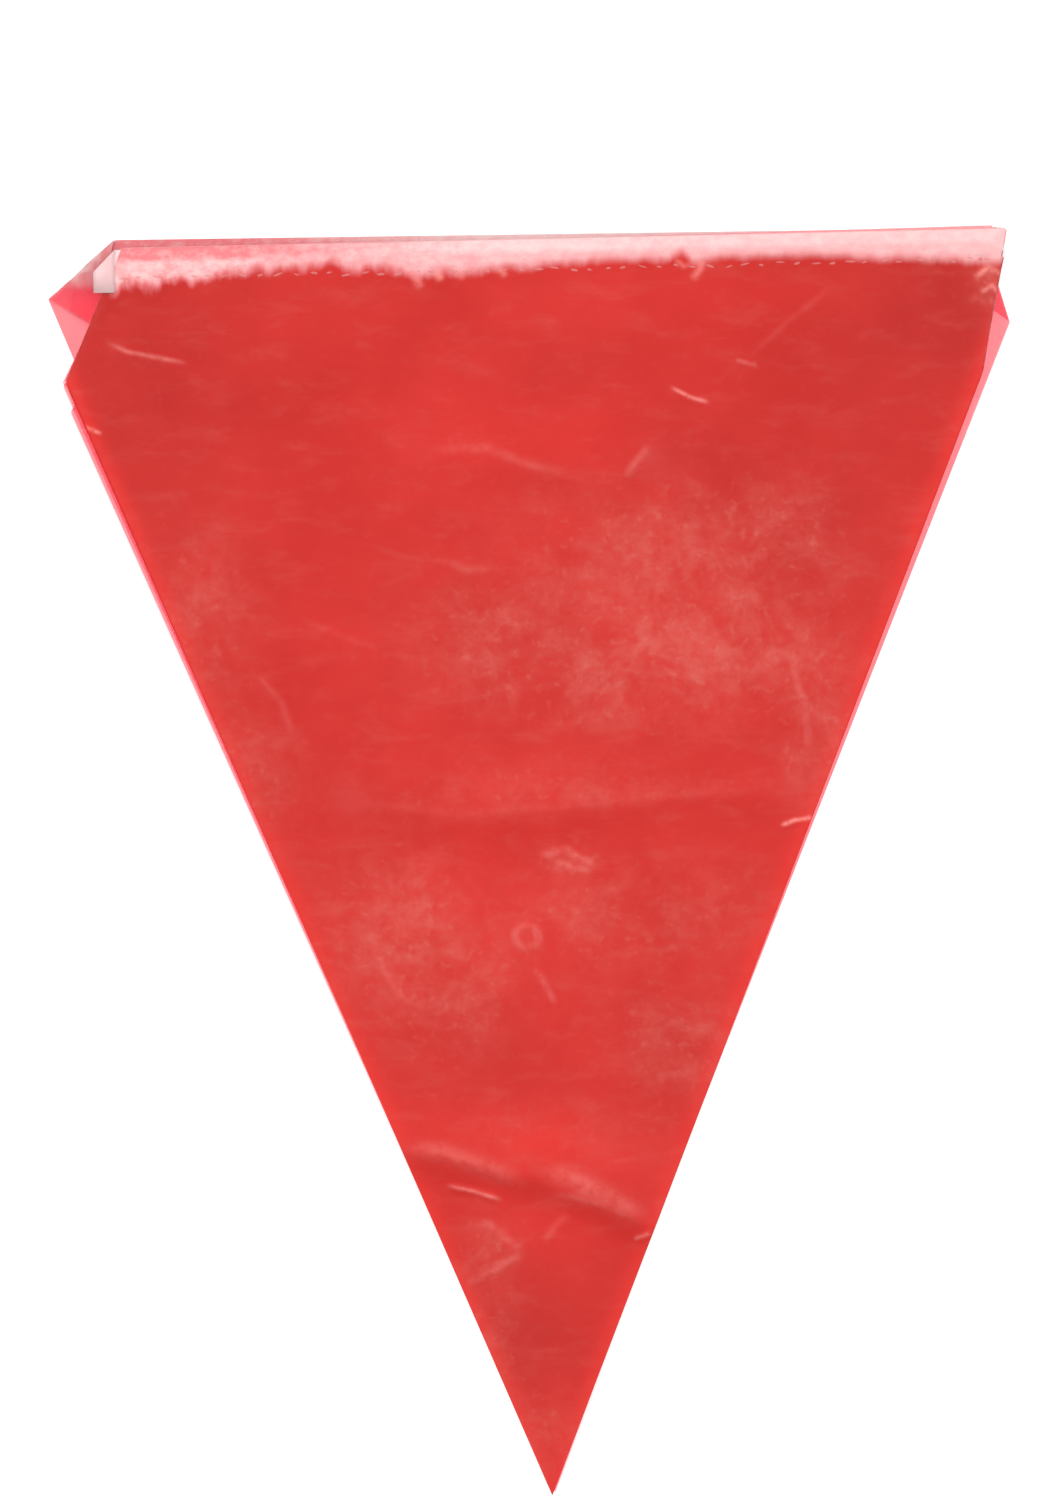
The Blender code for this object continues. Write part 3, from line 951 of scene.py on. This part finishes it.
@dataclass(frozen=True)
class Bend:
    """Where a flat sheet is doubled back.

    The line is a point where the bend starts, outward is the level direction square to that start towards
    the part that moves, and the radius is that of the sheet's middle.
    """

    line: Vector
    outward: Vector
    radius: float
    turn: Turn

    @property
    def length(self) -> float:
        """How much of the sheet goes into the bend."""
        return math.pi * self.radius

    def past(self, place: Vector) -> float:
        """How far a point of the flat sheet is past the bend's start."""
        return (place - self.line).xy.dot(self.outward.xy)

    def cut(self, bm: bmesh.types.BMesh, faces: list, steps: Iterable[int], count: int) -> list:
        """Cuts the part that moves across, at some of the bend's even steps.

        Args:
            bm: The mesh under construction.
            faces: The faces of that part.
            steps: The steps at which it is cut.
            count: How many steps the whole bend has.

        Returns:
            The part's faces after the cuts.
        """
        for step in steps:
            point = self.line + self.outward * math.pi * self.radius * step / count
            faces = bisect(bm, point, self.outward, drop_outside=False, faces=faces)
        return faces

    def take(self, place: Vector) -> Vector:
        """Where the bend takes a point of the flat sheet, whose Z is its height over the sheet's middle."""
        past = self.past(place)
        if past <= 0:
            return place
        way = self.turn.value
        angle = min(past / self.radius, math.pi)
        beyond = max(past - self.length, 0.0)
        reach = self.radius + way * place.z
        moved = place + self.outward * (reach * math.sin(angle) - beyond - past)
        moved.z = way * (reach * math.cos(angle) - self.radius)
        return moved


@dataclass
class PennantFilm:
    """One pennant: a triangle of film with its hem wrapped round the tape and its corners turned in.

    The layers lie much further apart than real films do, so only the lowest ones cast a shadow.
    """

    layer: int
    origin: Vector
    relief: Relief
    step: float
    material: bpy.types.Material
    wrap_radius: float = 0.25 * MM
    tuck: float = 0.075 * MM
    head_over: float = 0.15 * MM
    under_radius: float = 0.325 * MM
    over_radius: float = 0.65 * MM
    floor_radius: float = 0.2 * MM
    bend_steps: int = 6
    shaded_layers: int = 2
    hem_clearance: float = 9.0 * MM
    flap_hem: float = 269.0 * MM
    flap_pale: float = 0.2
    # Width of the painted lighter rim along the long sides.
    side_light_width: float = 2.4 * MM
    hem_step: float = 0.9 * MM
    open_depth: float = 6.3 * MM
    open_fade: float = 1.1 * MM
    clearance_fade: float = 1.6 * MM
    hem_rise_depth: float = 13.0 * MM
    hem_rise_fade: float = 5.0 * MM
    flap_rise_fade: float = 6.0 * MM
    floor_air: float = 0.06 * MM
    sharp_angle: float = 35.0
    refine_near: tuple[float, float] = (3.6 * MM, 1.9 * MM)

    @property
    def lay(self) -> Lay:
        """How this pennant lies."""
        return LAYS[self.layer]

    @property
    def head(self) -> float:
        """The height of the head's outer edge on the pattern."""
        return SIZES.drop + self.head_over

    def turn_of(self, side: Side) -> Turn:
        """The bottom pennant's left corner shows, folded over. All others are turned under."""
        return Turn.OVER if self.layer == 0 and side is Side.LEFT else Turn.UNDER

    def rows(self) -> list[float]:
        """The pattern's rows, close together where the hem wraps round the tape."""
        hem_from = SIZES.drop - self.hem_clearance
        arc_from = self.head - self.wrap_radius
        arc = math.pi * self.wrap_radius
        fine = min(self.step, self.hem_step)
        rows = list(np.linspace(-self.step, hem_from, round((hem_from + self.step) / self.step)))
        rows += list(np.linspace(hem_from, arc_from, round((arc_from - hem_from) / fine)))[1:]
        rows += [arc_from + arc * (step + 1) / self.bend_steps for step in range(self.bend_steps)]
        back_from = arc_from + arc
        return rows + list(np.linspace(back_from, back_from + SIZES.hem, round(SIZES.hem / fine)))[1:]

    def cut_pattern(self) -> bmesh.types.BMesh:
        """Cuts the flat pattern: the triangle and, past the head, the strip that is turned back."""
        rows = self.rows()
        half = SIZES.base_width / 2 + self.step
        columns = round(2 * half / self.step)
        bm = bmesh.new()
        bmesh.ops.create_grid(bm, x_segments=columns, y_segments=len(rows) - 1, size=1)
        for vertex in bm.verts:
            row = round((vertex.co.y + 1) / 2 * (len(rows) - 1))
            vertex.co.x *= half
            vertex.co.y = rows[row]
        tip = Vector((0, 0, 0))
        fold_back = self.head + (math.pi / 2 - 1) * self.wrap_radius
        for side in Side:
            along = SIZES.corner(side).normalized()
            outward = Vector((along.y, -along.x, 0)) * side.value
            bisect(bm, tip, outward, drop_outside=True)
            mirrored = Vector((outward.x, -outward.y, 0))
            far_tip = Vector((0, 2 * fold_back, 0))
            bisect(bm, far_tip, mirrored, drop_outside=True)
        return bm

    def refine(self, bm: bmesh.types.BMesh, rounds: Sequence[float]) -> None:
        """Splits the edges of the pattern that lie close to a crease.

        Args:
            bm: The mesh under construction.
            rounds: How far from a crease's line the edges are split, for each time.
        """
        place = self.lay.matrix()
        lines = [crease.line for crease in CREASES] + [FOLDS[0].crest]
        for near in rounds:
            edges = bm.edges[:]
            points = level_places(place @ ((edge.verts[0].co + edge.verts[1].co) / 2) for edge in edges)
            close = np.min([np.abs(nearest_on_line(points, line)[0]) for line in lines], axis=0)
            wanted = np.minimum(close, np.abs(from_ring(points))) < near
            chosen = [edge for edge, keep in zip(edges, wanted) if keep]
            bmesh.ops.subdivide_edges(bm, edges=chosen, cuts=1, use_grid_fill=True)
        bmesh.ops.triangulate(bm, faces=bm.faces[:])

    def note_pattern(self, bm: bmesh.types.BMesh) -> None:
        """Keeps each point's place on the flat pattern, which the finish follows."""
        pattern = bm.verts.layers.float_vector.new("pattern")
        shows = bm.verts.layers.float.new("shows")
        for vertex in bm.verts:
            vertex[pattern] = vertex.co
            vertex[shows] = 1.0

    def wrapped(self, up: float) -> tuple[float, float]:
        """Where the hem takes a point of the pattern.

        Args:
            up: The point's height on the pattern.

        Returns:
            Its place along the pennant and its height over the pennant's middle.
        """
        radius = self.wrap_radius
        arc_from = self.head - radius
        arc = up - arc_from
        if 0 < arc < math.pi * radius:
            angle = arc / radius
            return arc_from + radius * math.sin(angle), radius * math.cos(angle)
        front = arc <= 0
        place = up if front else arc_from - (arc - math.pi * radius)
        below = SIZES.drop - place
        open_share = smooth_step((self.open_depth - below) / self.open_fade)
        gap = self.tuck + (radius - self.tuck) * float(open_share)
        if front:
            gap *= float(smooth_step((self.hem_clearance - below) / self.clearance_fade))
        return place, gap if front else -gap

    def wrap_hem(self, bm: bmesh.types.BMesh) -> None:
        """Wraps the head round the tape."""
        for vertex in bm.verts:
            vertex.co.y, vertex.co.z = self.wrapped(vertex.co.y)

    def bend_of(self, side: Side) -> Bend:
        """The bend that turns a corner in."""
        line, head_point = SIZES.corner_line(self.lay, side)
        along = (head_point - line).normalized()
        outward = Vector((along.y, -along.x, 0)) * side.value
        turn = self.turn_of(side)
        under = self.under_radius if self.layer else self.floor_radius
        return Bend(line, outward, self.over_radius if turn is Turn.OVER else under, turn)

    def turn_corners(self, bm: bmesh.types.BMesh) -> None:
        """Turns both corners in, each round its own bend.

        The hem stops where its corner turns under, so that the tape can leave it there.
        """
        pattern = bm.verts.layers.float_vector["pattern"]
        shows = bm.verts.layers.float["shows"]
        hem_from = SIZES.drop - SIZES.hem
        for side in Side:
            bend = self.bend_of(side)
            near = [face for face in bm.faces if bend.past(face.calc_center_median()) > -2 * self.step]
            cut = bisect(bm, bend.line, bend.outward, drop_outside=False, faces=near)
            past = [face for face in cut if bend.past(face.calc_center_median()) > 0]
            if bend.turn is Turn.UNDER:
                strip = [face for face in past if min(vertex[pattern].y for vertex in face.verts) > hem_from]
                bmesh.ops.delete(bm, geom=strip, context="FACES")
                past = [face for face in past if face.is_valid]
            bend.cut(bm, past, range(1, self.bend_steps + 1), self.bend_steps)
            for vertex in bm.verts:
                if bend.past(vertex.co) > bend.length:
                    vertex[shows] = 0.0
                vertex.co = bend.take(vertex.co)

    def base_height(self, places: np.ndarray) -> np.ndarray:
        """How high the flat film lies at places in its own frame.

        The bottom pennant lies on the surface, but for its hem and for the corner that is turned under
        it. All others lie in the middle of their layer.
        """
        if self.layer:
            return np.full(len(places), SIZES.middle(self.layer))
        rise_from = SIZES.drop - self.hem_rise_depth
        hem = self.wrap_radius * smooth_step((places[:, 1] - rise_from) / self.hem_rise_fade)
        bend = self.bend_of(Side.RIGHT)
        flap = bend.past(SIZES.corner(Side.RIGHT))
        past = (places - np.array(bend.line.xy)) @ np.array(bend.outward.xy)
        fade = self.flap_rise_fade
        corner_lift = 2 * bend.radius * smooth_step((past + flap + fade) / fade)
        return SIZES.film / 2 + self.floor_air + hem + corner_lift

    def lay_in_stack(self, bm: bmesh.types.BMesh) -> None:
        """Moves the film to its place in the stack and lifts it with the folds."""
        place = self.lay.matrix()
        flat = self.base_height(level_places(vertex.co for vertex in bm.verts))
        for vertex in bm.verts:
            vertex.co = place @ vertex.co
        lifts = flat + self.relief.lift(level_places(vertex.co for vertex in bm.verts), self.layer)
        for vertex, lift in zip(bm.verts, lifts):
            vertex.co += self.origin + Vector((0, 0, float(lift)))

    @staticmethod
    def hem_value(points: np.ndarray, name: str) -> np.ndarray:
        """One of the milky band's values at each point, between the places of its table."""
        across = [look.x for look in HEM_LOOKS]
        return np.interp(points[:, 0] / MM, across, [getattr(look, name) for look in HEM_LOOKS])

    def painted_side_light(self, points: np.ndarray) -> np.ndarray:
        """How close each point of the flat pattern is to one of its long sides, from 0 to 1 on the side, for
        the painted lighter rim there.
        """
        lean = math.atan2(SIZES.base_width / 2, SIZES.drop)
        inside = points[:, 1] * math.sin(lean) - np.abs(points[:, 0]) * math.cos(lean)
        return np.exp(-((inside / self.side_light_width) ** 2))

    def note_looks(self, mesh: bpy.types.Mesh) -> None:
        """Writes the attributes that say how red the film is and where it is milky."""
        points = read_values(mesh.attributes["pattern"].data, "vector", 3)[:, :2].astype(float)
        angle = math.radians(self.lay.turn)
        cosine, sine = math.cos(angle), math.sin(angle)
        turned = points @ np.array(((cosine, sine), (-sine, cosine)))
        shows = read_values(mesh.attributes["shows"].data, "value", 1)[:, 0]
        depths = self.hem_value(turned, "depth") * MM
        flap = np.full(len(points), -SIZES.hem)
        if self.layer == 0:
            up = read_values(mesh.vertices, "co", 3)[:, 1] - self.origin.y
            flap = np.abs(SIZES.drop - points[:, 1]) + up - self.flap_hem
        rim = self.painted_side_light(points)
        # The tone patches are painted light and shade mixed with uneven tone. Near the sides the tone goes to
        # its lightest: a painted lighter rim, for light passing through fewer layers.
        tone = np.clip(np.sum([patch.cover(turned) for patch in PAINTED_LIGHT_AND_TONES], axis=0), -1, 1) * (1 - rim) + rim
        cloud = np.sum([patch.cover(turned) for patch in CLOUDS_AND_SHEEN], axis=0)
        # Whitening along the creases and the ring's rim, partly painted highlights along the crests.
        stress_and_highlight = np.max([crease.whiten_and_highlight(turned) for crease in CREASES], axis=0)
        stress_and_highlight = np.maximum(stress_and_highlight, RING_MILKY * ring_rim(turned))
        marked = shows * float(self.layer == TOP)
        looks = {
            "tone": 0.5 + 0.5 * marked * tone,
            "cloud": marked * np.clip(cloud, 0, 1),
            "stress_and_highlight": marked * stress_and_highlight,
            "hem_depth": np.where(shows > 0, depths, flap),
            "hem_ragged": shows * self.hem_value(turned, "ragged") * MM,
            "hem_upper": np.where(shows > 0, self.hem_value(turned, "upper"), self.flap_pale),
            "hem_lower": np.where(shows > 0, self.hem_value(turned, "lower"), self.flap_pale),
        }
        for name, values in looks.items():
            layer = mesh.attributes.new(name, "FLOAT", "POINT")
            layer.data.foreach_set("value", values.astype(np.float32))

    def build(self) -> bpy.types.Object:
        """Makes the film and puts it in the place of its solid."""
        bm = self.cut_pattern()
        if self.layer == TOP:
            self.refine(bm, self.refine_near)
        self.note_pattern(bm)
        self.wrap_hem(bm)
        self.turn_corners(bm)
        self.lay_in_stack(bm)
        piece = object_of(bm, f"film_{self.layer + 1:02d}", self.material)
        self.note_looks(piece.data)
        thicken(piece, SIZES.film)
        piece.data.shade_smooth()
        piece.data.set_sharp_from_angle(angle=math.radians(self.sharp_angle))
        piece.visible_shadow = self.layer < self.shaded_layers
        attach(piece, BODY)
        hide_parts(f"pennant_{self.layer + 1:02d}")
        return piece

    def hem_line(self, below: float, inset: float, count: int) -> list[Vector]:
        """Points along the hem on the film's face, from one turned-in corner to the other.

        Args:
            below: How far the line is below the head.
            inset: How far its ends stay from the corners' lines.
            count: How many points it has.

        Returns:
            The points, in the stack's place.
        """
        ends = []
        for side in Side:
            start, end = SIZES.corner_line(self.lay, side)
            share = (SIZES.drop - below - start.y) / (end.y - start.y)
            ends.append(start.x + (end.x - start.x) * share - side.value * inset)
        place = self.lay.matrix()
        height = self.wrapped(SIZES.drop - below)[1] + SIZES.film / 2
        line = [Vector((x, SIZES.drop - below, height)) for x in np.linspace(*ends, count)]
        lifts = self.base_height(level_places(line))
        line = [place @ point for point in line]
        lifts = lifts + self.relief.lift(level_places(line), self.layer)
        return [point + self.origin + Vector((0, 0, float(lift))) for point, lift in zip(line, lifts)]


@dataclass
class HeadingTape:
    """The white tape: one ribbon, back and forth through all the hems, with its last end folded down."""

    origin: Vector
    relief: Relief
    material: bpy.types.Material
    left_turn: float = -95.3 * MM
    right_turn: float = 99.7 * MM
    start: float = -97.0 * MM
    dog_ear: float = -101.3 * MM
    tail: float = 5.7 * MM
    ear_radius: float = 0.40 * MM
    bottom_height: float = 0.33 * MM
    width: float = 4.7 * MM
    columns: int = 4
    bend_steps: int = 10
    run_step: float = 5.0 * MM

    def centre(self, layer: int, x: float) -> Vector:
        """The tape's middle in a layer, where it passes a given distance from the tip."""
        along = LAYS[layer].way(1, 0)
        middle = LAYS[layer].matrix() @ Vector((0, SIZES.drop - SIZES.tape_width / 2, 0))
        centre = middle + along * (x - middle.x) / along.x
        lift = float(self.relief.lift(level_places([centre]), layer)[0])
        base = SIZES.middle(layer) if layer else self.bottom_height
        return centre + Vector((0, 0, base + lift))

    def stations(self) -> list[tuple[Vector, Vector]]:
        """The tape's middle points in order, each with the direction across the tape."""
        stations = []
        run_from = self.start
        for layer in range(COUNT):
            across = LAYS[layer].way(0, 1)
            last = layer == TOP
            run_to = self.dog_ear - self.tail if last else self.right_turn
            if layer % 2 and not last:
                run_to = self.left_turn
            steps = max(round(abs(run_to - run_from) / self.run_step), 1)
            for step in range(steps + 1):
                x = run_from + (run_to - run_from) * step / steps
                stations.append((self.centre(layer, x), across))
            if not last:
                stations += self.bend(layer, run_to)
            run_from = run_to
        return stations

    def bend(self, layer: int, x: float) -> list[tuple[Vector, Vector]]:
        """The stations round one bend, from a layer to the next one."""
        outward = 1 if x > 0 else -1
        first, second = self.centre(layer, x), self.centre(layer + 1, x)
        radius = (second.z - first.z) / 2
        across = [LAYS[at].way(0, 1) for at in (layer, layer + 1)]
        made = []
        for step in range(1, self.bend_steps):
            angle = math.pi * step / self.bend_steps
            share = (1 - math.cos(angle)) / 2
            bulge = Vector((outward * radius * math.sin(angle), 0, 0))
            made.append((first.lerp(second, share) + bulge, across[0].lerp(across[1], share).normalized()))
        return made

    def fold_ear(self, bm: bmesh.types.BMesh) -> None:
        """Folds the last end over at half a right angle, so that it points down the pennant."""
        up, level = LAYS[TOP].way(0, 1), LAYS[TOP].way(1, 0)
        lower = self.centre(TOP, self.dog_ear) - up * self.width / 2
        bend = Bend(lower, (up - level).normalized(), self.ear_radius, Turn.OVER)
        top_layer = TOP * SIZES.pitch
        last_run = [
            face
            for face in bm.faces
            if min(vertex.co.z for vertex in face.verts) > top_layer
            and face.calc_center_median().x < self.left_turn + self.run_step
        ]
        last_run = bend.cut(bm, last_run, range(self.bend_steps + 1), self.bend_steps)
        height = Vector((0, 0, lower.z))
        for vertex in {vertex for face in last_run for vertex in face.verts}:
            vertex.co = height + bend.take(vertex.co - height)

    def build(self) -> bpy.types.Object:
        """Makes the tape and puts it in the place of its solid."""
        stations = self.stations()
        bm = bmesh.new()
        bmesh.ops.create_grid(bm, x_segments=len(stations) - 1, y_segments=self.columns, size=1)
        place = bm.verts.layers.float_vector.new("along")
        runs = [0.0]
        for (first, _), (second, _) in zip(stations, stations[1:]):
            runs.append(runs[-1] + (second - first).length)
        for vertex in bm.verts:
            at = round((vertex.co.x + 1) / 2 * (len(stations) - 1))
            offset = vertex.co.y * self.width / 2
            middle, across = stations[at]
            vertex[place] = (runs[at] - runs[-1], offset, 0)
            vertex.co = middle + across * offset
        self.fold_ear(bm)
        for vertex in bm.verts:
            vertex.co += self.origin
        piece = object_of(bm, "tape", self.material)
        thicken(piece, SIZES.tape_thickness)
        piece.data.shade_smooth()
        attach(piece, BODY)
        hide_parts("heading_tape")
        return piece


@dataclass
class HemJoins:
    """The short marks where each hem is joined to its pennant, made by Geometry Nodes along the hems."""

    material: bpy.types.Material
    below: float = 6.6 * MM
    inset: float = 3.0 * MM
    pitch: float = 3.8 * MM
    length: float = 2.1 * MM
    width: float = 0.55 * MM
    height: float = 0.16 * MM
    line_points: int = 50
    seed: int = 11
    jitter: Limits = ((-0.5 * MM, -0.4 * MM, 0.0), (0.5 * MM, 0.4 * MM, 0.0))
    scale: Limits = ((0.55, 0.7, 0.8), (1.3, 1.3, 1.1))
    twist: Limits = ((0.0, 0.0, -0.35), (0.0, 0.0, 0.35))
    sockets: dict[str, str] = field(default_factory=dict)

    def line_object(self, films: Sequence[PennantFilm]) -> bpy.types.Object:
        """The hems' joining lines, as bare edges."""
        mesh = bpy.data.meshes.new("hem_joins")
        points, edges = [], []
        for film in films:
            line = film.hem_line(self.below, self.inset, self.line_points)
            edges += [(len(points) + at, len(points) + at + 1) for at in range(len(line) - 1)]
            points += line
        mesh.from_pydata(points, edges, [])
        return mesh_object("hem_joins", mesh)

    def tree(self) -> bpy.types.GeometryNodeTree:
        """The tree that sets one mark after another along the lines, each a little different."""
        tree = bpy.data.node_groups.new("hem_joins", "GeometryNodeTree")
        interface = tree.interface
        interface.new_socket("Geometry", in_out="INPUT", socket_type="NodeSocketGeometry")
        for name in ("Pitch", "Length", "Width", "Height", "Seed"):
            kind = "NodeSocketInt" if name == "Seed" else "NodeSocketFloat"
            self.sockets[name] = interface.new_socket(name, in_out="INPUT", socket_type=kind).identifier
        interface.new_socket("Geometry", in_out="OUTPUT", socket_type="NodeSocketGeometry")
        wiring = Wiring(tree)
        given = wiring.add("NodeGroupInput").outputs
        jitter, scale, turn = (
            self.random_vector(wiring, given["Seed"], shift, limits)
            for shift, limits in enumerate((self.jitter, self.scale, self.twist))
        )
        line = wiring.add("GeometryNodeMeshToCurve", {0: given["Geometry"]}).outputs[0]
        along = {"Curve": line, "Length": given["Pitch"]}
        points = wiring.add("GeometryNodeCurveToPoints", along, mode="LENGTH").outputs
        ball = {"Segments": 8, "Rings": 5, "Radius": 0.5}
        form = wiring.add("GeometryNodeMeshUVSphere", ball).outputs["Mesh"]
        sizes = {"X": given["Length"], "Y": given["Width"], "Z": given["Height"]}
        size = wiring.add("ShaderNodeCombineXYZ", sizes).outputs[0]
        mark = wiring.add("GeometryNodeTransform", {"Geometry": form, "Scale": size}).outputs[0]
        moved = wiring.add("GeometryNodeSetPosition", {"Geometry": points["Points"], "Offset": jitter})
        aligned = wiring.add("FunctionNodeAlignRotationToVector", {"Vector": points["Tangent"]}, axis="X")
        marks = {"Points": moved.outputs[0], "Instance": mark, "Rotation": aligned.outputs[0], "Scale": scale}
        placed = wiring.add("GeometryNodeInstanceOnPoints", marks).outputs[0]
        turned = wiring.add("GeometryNodeRotateInstances", {"Instances": placed, "Rotation": turn})
        smooth = wiring.add("GeometryNodeSetShadeSmooth", {"Geometry": turned.outputs[0]})
        real = wiring.add("GeometryNodeRealizeInstances", {"Geometry": smooth.outputs[0]})
        dress = {"Geometry": real.outputs[0], "Material": self.material}
        wiring.add("NodeGroupOutput", {0: wiring.add("GeometryNodeSetMaterial", dress).outputs[0]})
        return tree

    @staticmethod
    def random_vector(wiring: Wiring, seed: Socket, shift: int, limits: Limits) -> Socket:
        """Gives each mark its own vector between two limits, from a seed shifted by a number."""
        own_seed = wiring.add("ShaderNodeMath", {0: seed, 1: shift}, operation="ADD").outputs[0]
        feeds = {0: limits[0], 1: limits[1], "Seed": own_seed}
        return wiring.add("FunctionNodeRandomValue", feeds, data_type="FLOAT_VECTOR").outputs[0]

    def build(self, films: Sequence[PennantFilm]) -> bpy.types.Object:
        """Makes all the marks as one mesh."""
        piece = self.line_object(films)
        nodes = piece.modifiers.new("Joins", "NODES")
        nodes.node_group = self.tree()
        for name, identifier in self.sockets.items():
            nodes[identifier] = getattr(self, name.lower())
        graph = bpy.context.evaluated_depsgraph_get()
        mesh = bpy.data.meshes.new_from_object(piece.evaluated_get(graph))
        piece.modifiers.remove(nodes)
        piece.data = mesh
        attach(piece, BODY)
        return piece


@dataclass
class Studio:
    """The camera straight above the banner, the pale floor and the soft light."""

    tip: Vector
    top: float
    view_height: float = 333.9 * MM
    lens: float = 400.0
    sensor: float = 36.0
    aim_x: float = -6.68 * MM
    aim_y: float = 165.8 * MM
    floor_half: float = 30.0
    floor_gap: float = 0.02 * MM
    sky: float = 0.38
    key_power: float = 30.0
    side_share: float = 0.40
    top_share: float = 1.20
    films_seen_through: int = 32
    far_clip: float = 100.0

    def build(self) -> None:
        """Sets the whole studio up."""
        self.add_camera()
        self.add_floor()
        self.add_light("top", (0.10, 0.25, 2.60), 0.8, self.top_share * self.key_power, shine=False)
        self.add_light("key", (-0.20, 1.60, 2.20), 1.4, self.key_power, shine=False)
        self.add_light("left", (-1.50, 0.10, 2.40), 1.2, self.side_share * self.key_power)
        self.add_light("right", (1.50, 0.20, 2.40), 1.2, self.side_share * self.key_power)
        self.add_sky()
        scene = bpy.context.scene
        scene.view_settings.view_transform = "Standard"
        scene.cycles.transparent_max_bounces = self.films_seen_through

    def add_camera(self) -> None:
        """A long lens straight above, so that the layers' edges line up as they do in the picture."""
        data = bpy.data.cameras.new("camera")
        data.lens = self.lens
        data.sensor_width = self.sensor
        data.clip_end = self.far_clip
        camera = bpy.data.objects.new("camera", data)
        bpy.context.scene.collection.objects.link(camera)
        distance = self.view_height * self.lens / self.sensor
        camera.location = (self.tip.x + self.aim_x, self.tip.y + self.aim_y, self.top + distance)
        bpy.context.scene.camera = camera

    def add_floor(self) -> None:
        """A wide plain floor just under the banner."""
        bm = bmesh.new()
        bmesh.ops.create_grid(bm, x_segments=1, y_segments=1, size=self.floor_half)
        floor = object_of(bm, "floor", FloorFinish().make())
        floor.location.z = -self.floor_gap

    def add_light(
        self, name: str, place: Sequence[float], size: float, power: float, shine: bool = True
    ) -> None:
        """A square softbox that points at the banner.

        Args:
            name: The light's name.
            place: Where it stands.
            size: How wide it is.
            power: How strong it is, in watts.
            shine: False if it only fills in shade and makes no gloss.
        """
        data = bpy.data.lights.new(name, "AREA")
        data.size = size
        data.energy = power
        light = bpy.data.objects.new(name, data)
        bpy.context.scene.collection.objects.link(light)
        light.location = place
        light.rotation_mode = "QUATERNION"
        light.rotation_quaternion = (-Vector(place)).to_track_quat("-Z", "Y")
        light.visible_camera = False
        light.visible_glossy = shine

    def add_sky(self) -> None:
        """Even light from all round."""
        world = bpy.data.worlds.new("studio")
        world.use_nodes = True
        background = world.node_tree.nodes["Background"]
        background.inputs["Color"].default_value = (1.0, 1.0, 1.0, 1.0)
        background.inputs["Strength"].default_value = self.sky
        bpy.context.scene.world = world


def stack_origin() -> Vector:
    """Where the top pennant's tip is in the frame, from its solid's box."""
    low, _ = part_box(f"pennant_{COUNT:02d}")
    lay = LAYS[TOP]
    side_point = lay.matrix() @ SIZES.corner_line(lay, Side.LEFT)[0]
    return Vector((low[0] - side_point.x, low[1], 0))


def main() -> None:
    """Builds the films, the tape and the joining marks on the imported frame, and lights them."""
    logging.basicConfig(level=logging.INFO, format="%(message)s")
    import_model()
    origin = stack_origin()
    relief = Relief()
    # Lit and shaded copies of one film: the top and core films get a darker red as painted shade, and the
    # edge and bottom films a paler red as painted light passing through them.
    shaded_show_film = ShowFilmFinish("film_show").make()
    lit_edge_film = FilmFinish("film_edge").make()
    shaded_core_film = FilmFinish(
        "film_core", red=(0.49, 0.018, 0.014, 1.0), deep_red=(0.46, 0.016, 0.013, 1.0), face_opacity=0.80
    ).make()
    lit_bottom_film = ShowFilmFinish(
        "film_bottom", red=(0.95, 0.078, 0.122, 1.0), deep_red=(0.90, 0.070, 0.112, 1.0), face_opacity=0.36
    ).make()
    finishes = [lit_edge_film if layer < FIRST_CORE_LAYER else shaded_core_film for layer in range(COUNT)]
    finishes[0], finishes[TOP] = lit_bottom_film, shaded_show_film
    films = [
        PennantFilm(layer, origin, relief, TOP_MESH_STEP if layer == TOP else MESH_STEP, finish)
        for layer, finish in enumerate(finishes)
    ]
    pieces = [film.build() for film in films]
    tape = HeadingTape(origin, relief, TapeFinish().make()).build()
    joins = HemJoins(JoinFinish().make()).build(films)
    for piece in (*pieces, tape, joins):
        log.info("%s: %d faces", piece.name, len(piece.data.polygons))
    Studio(origin, SIZES.middle(TOP)).build()


if __name__ == "__main__":
    main()
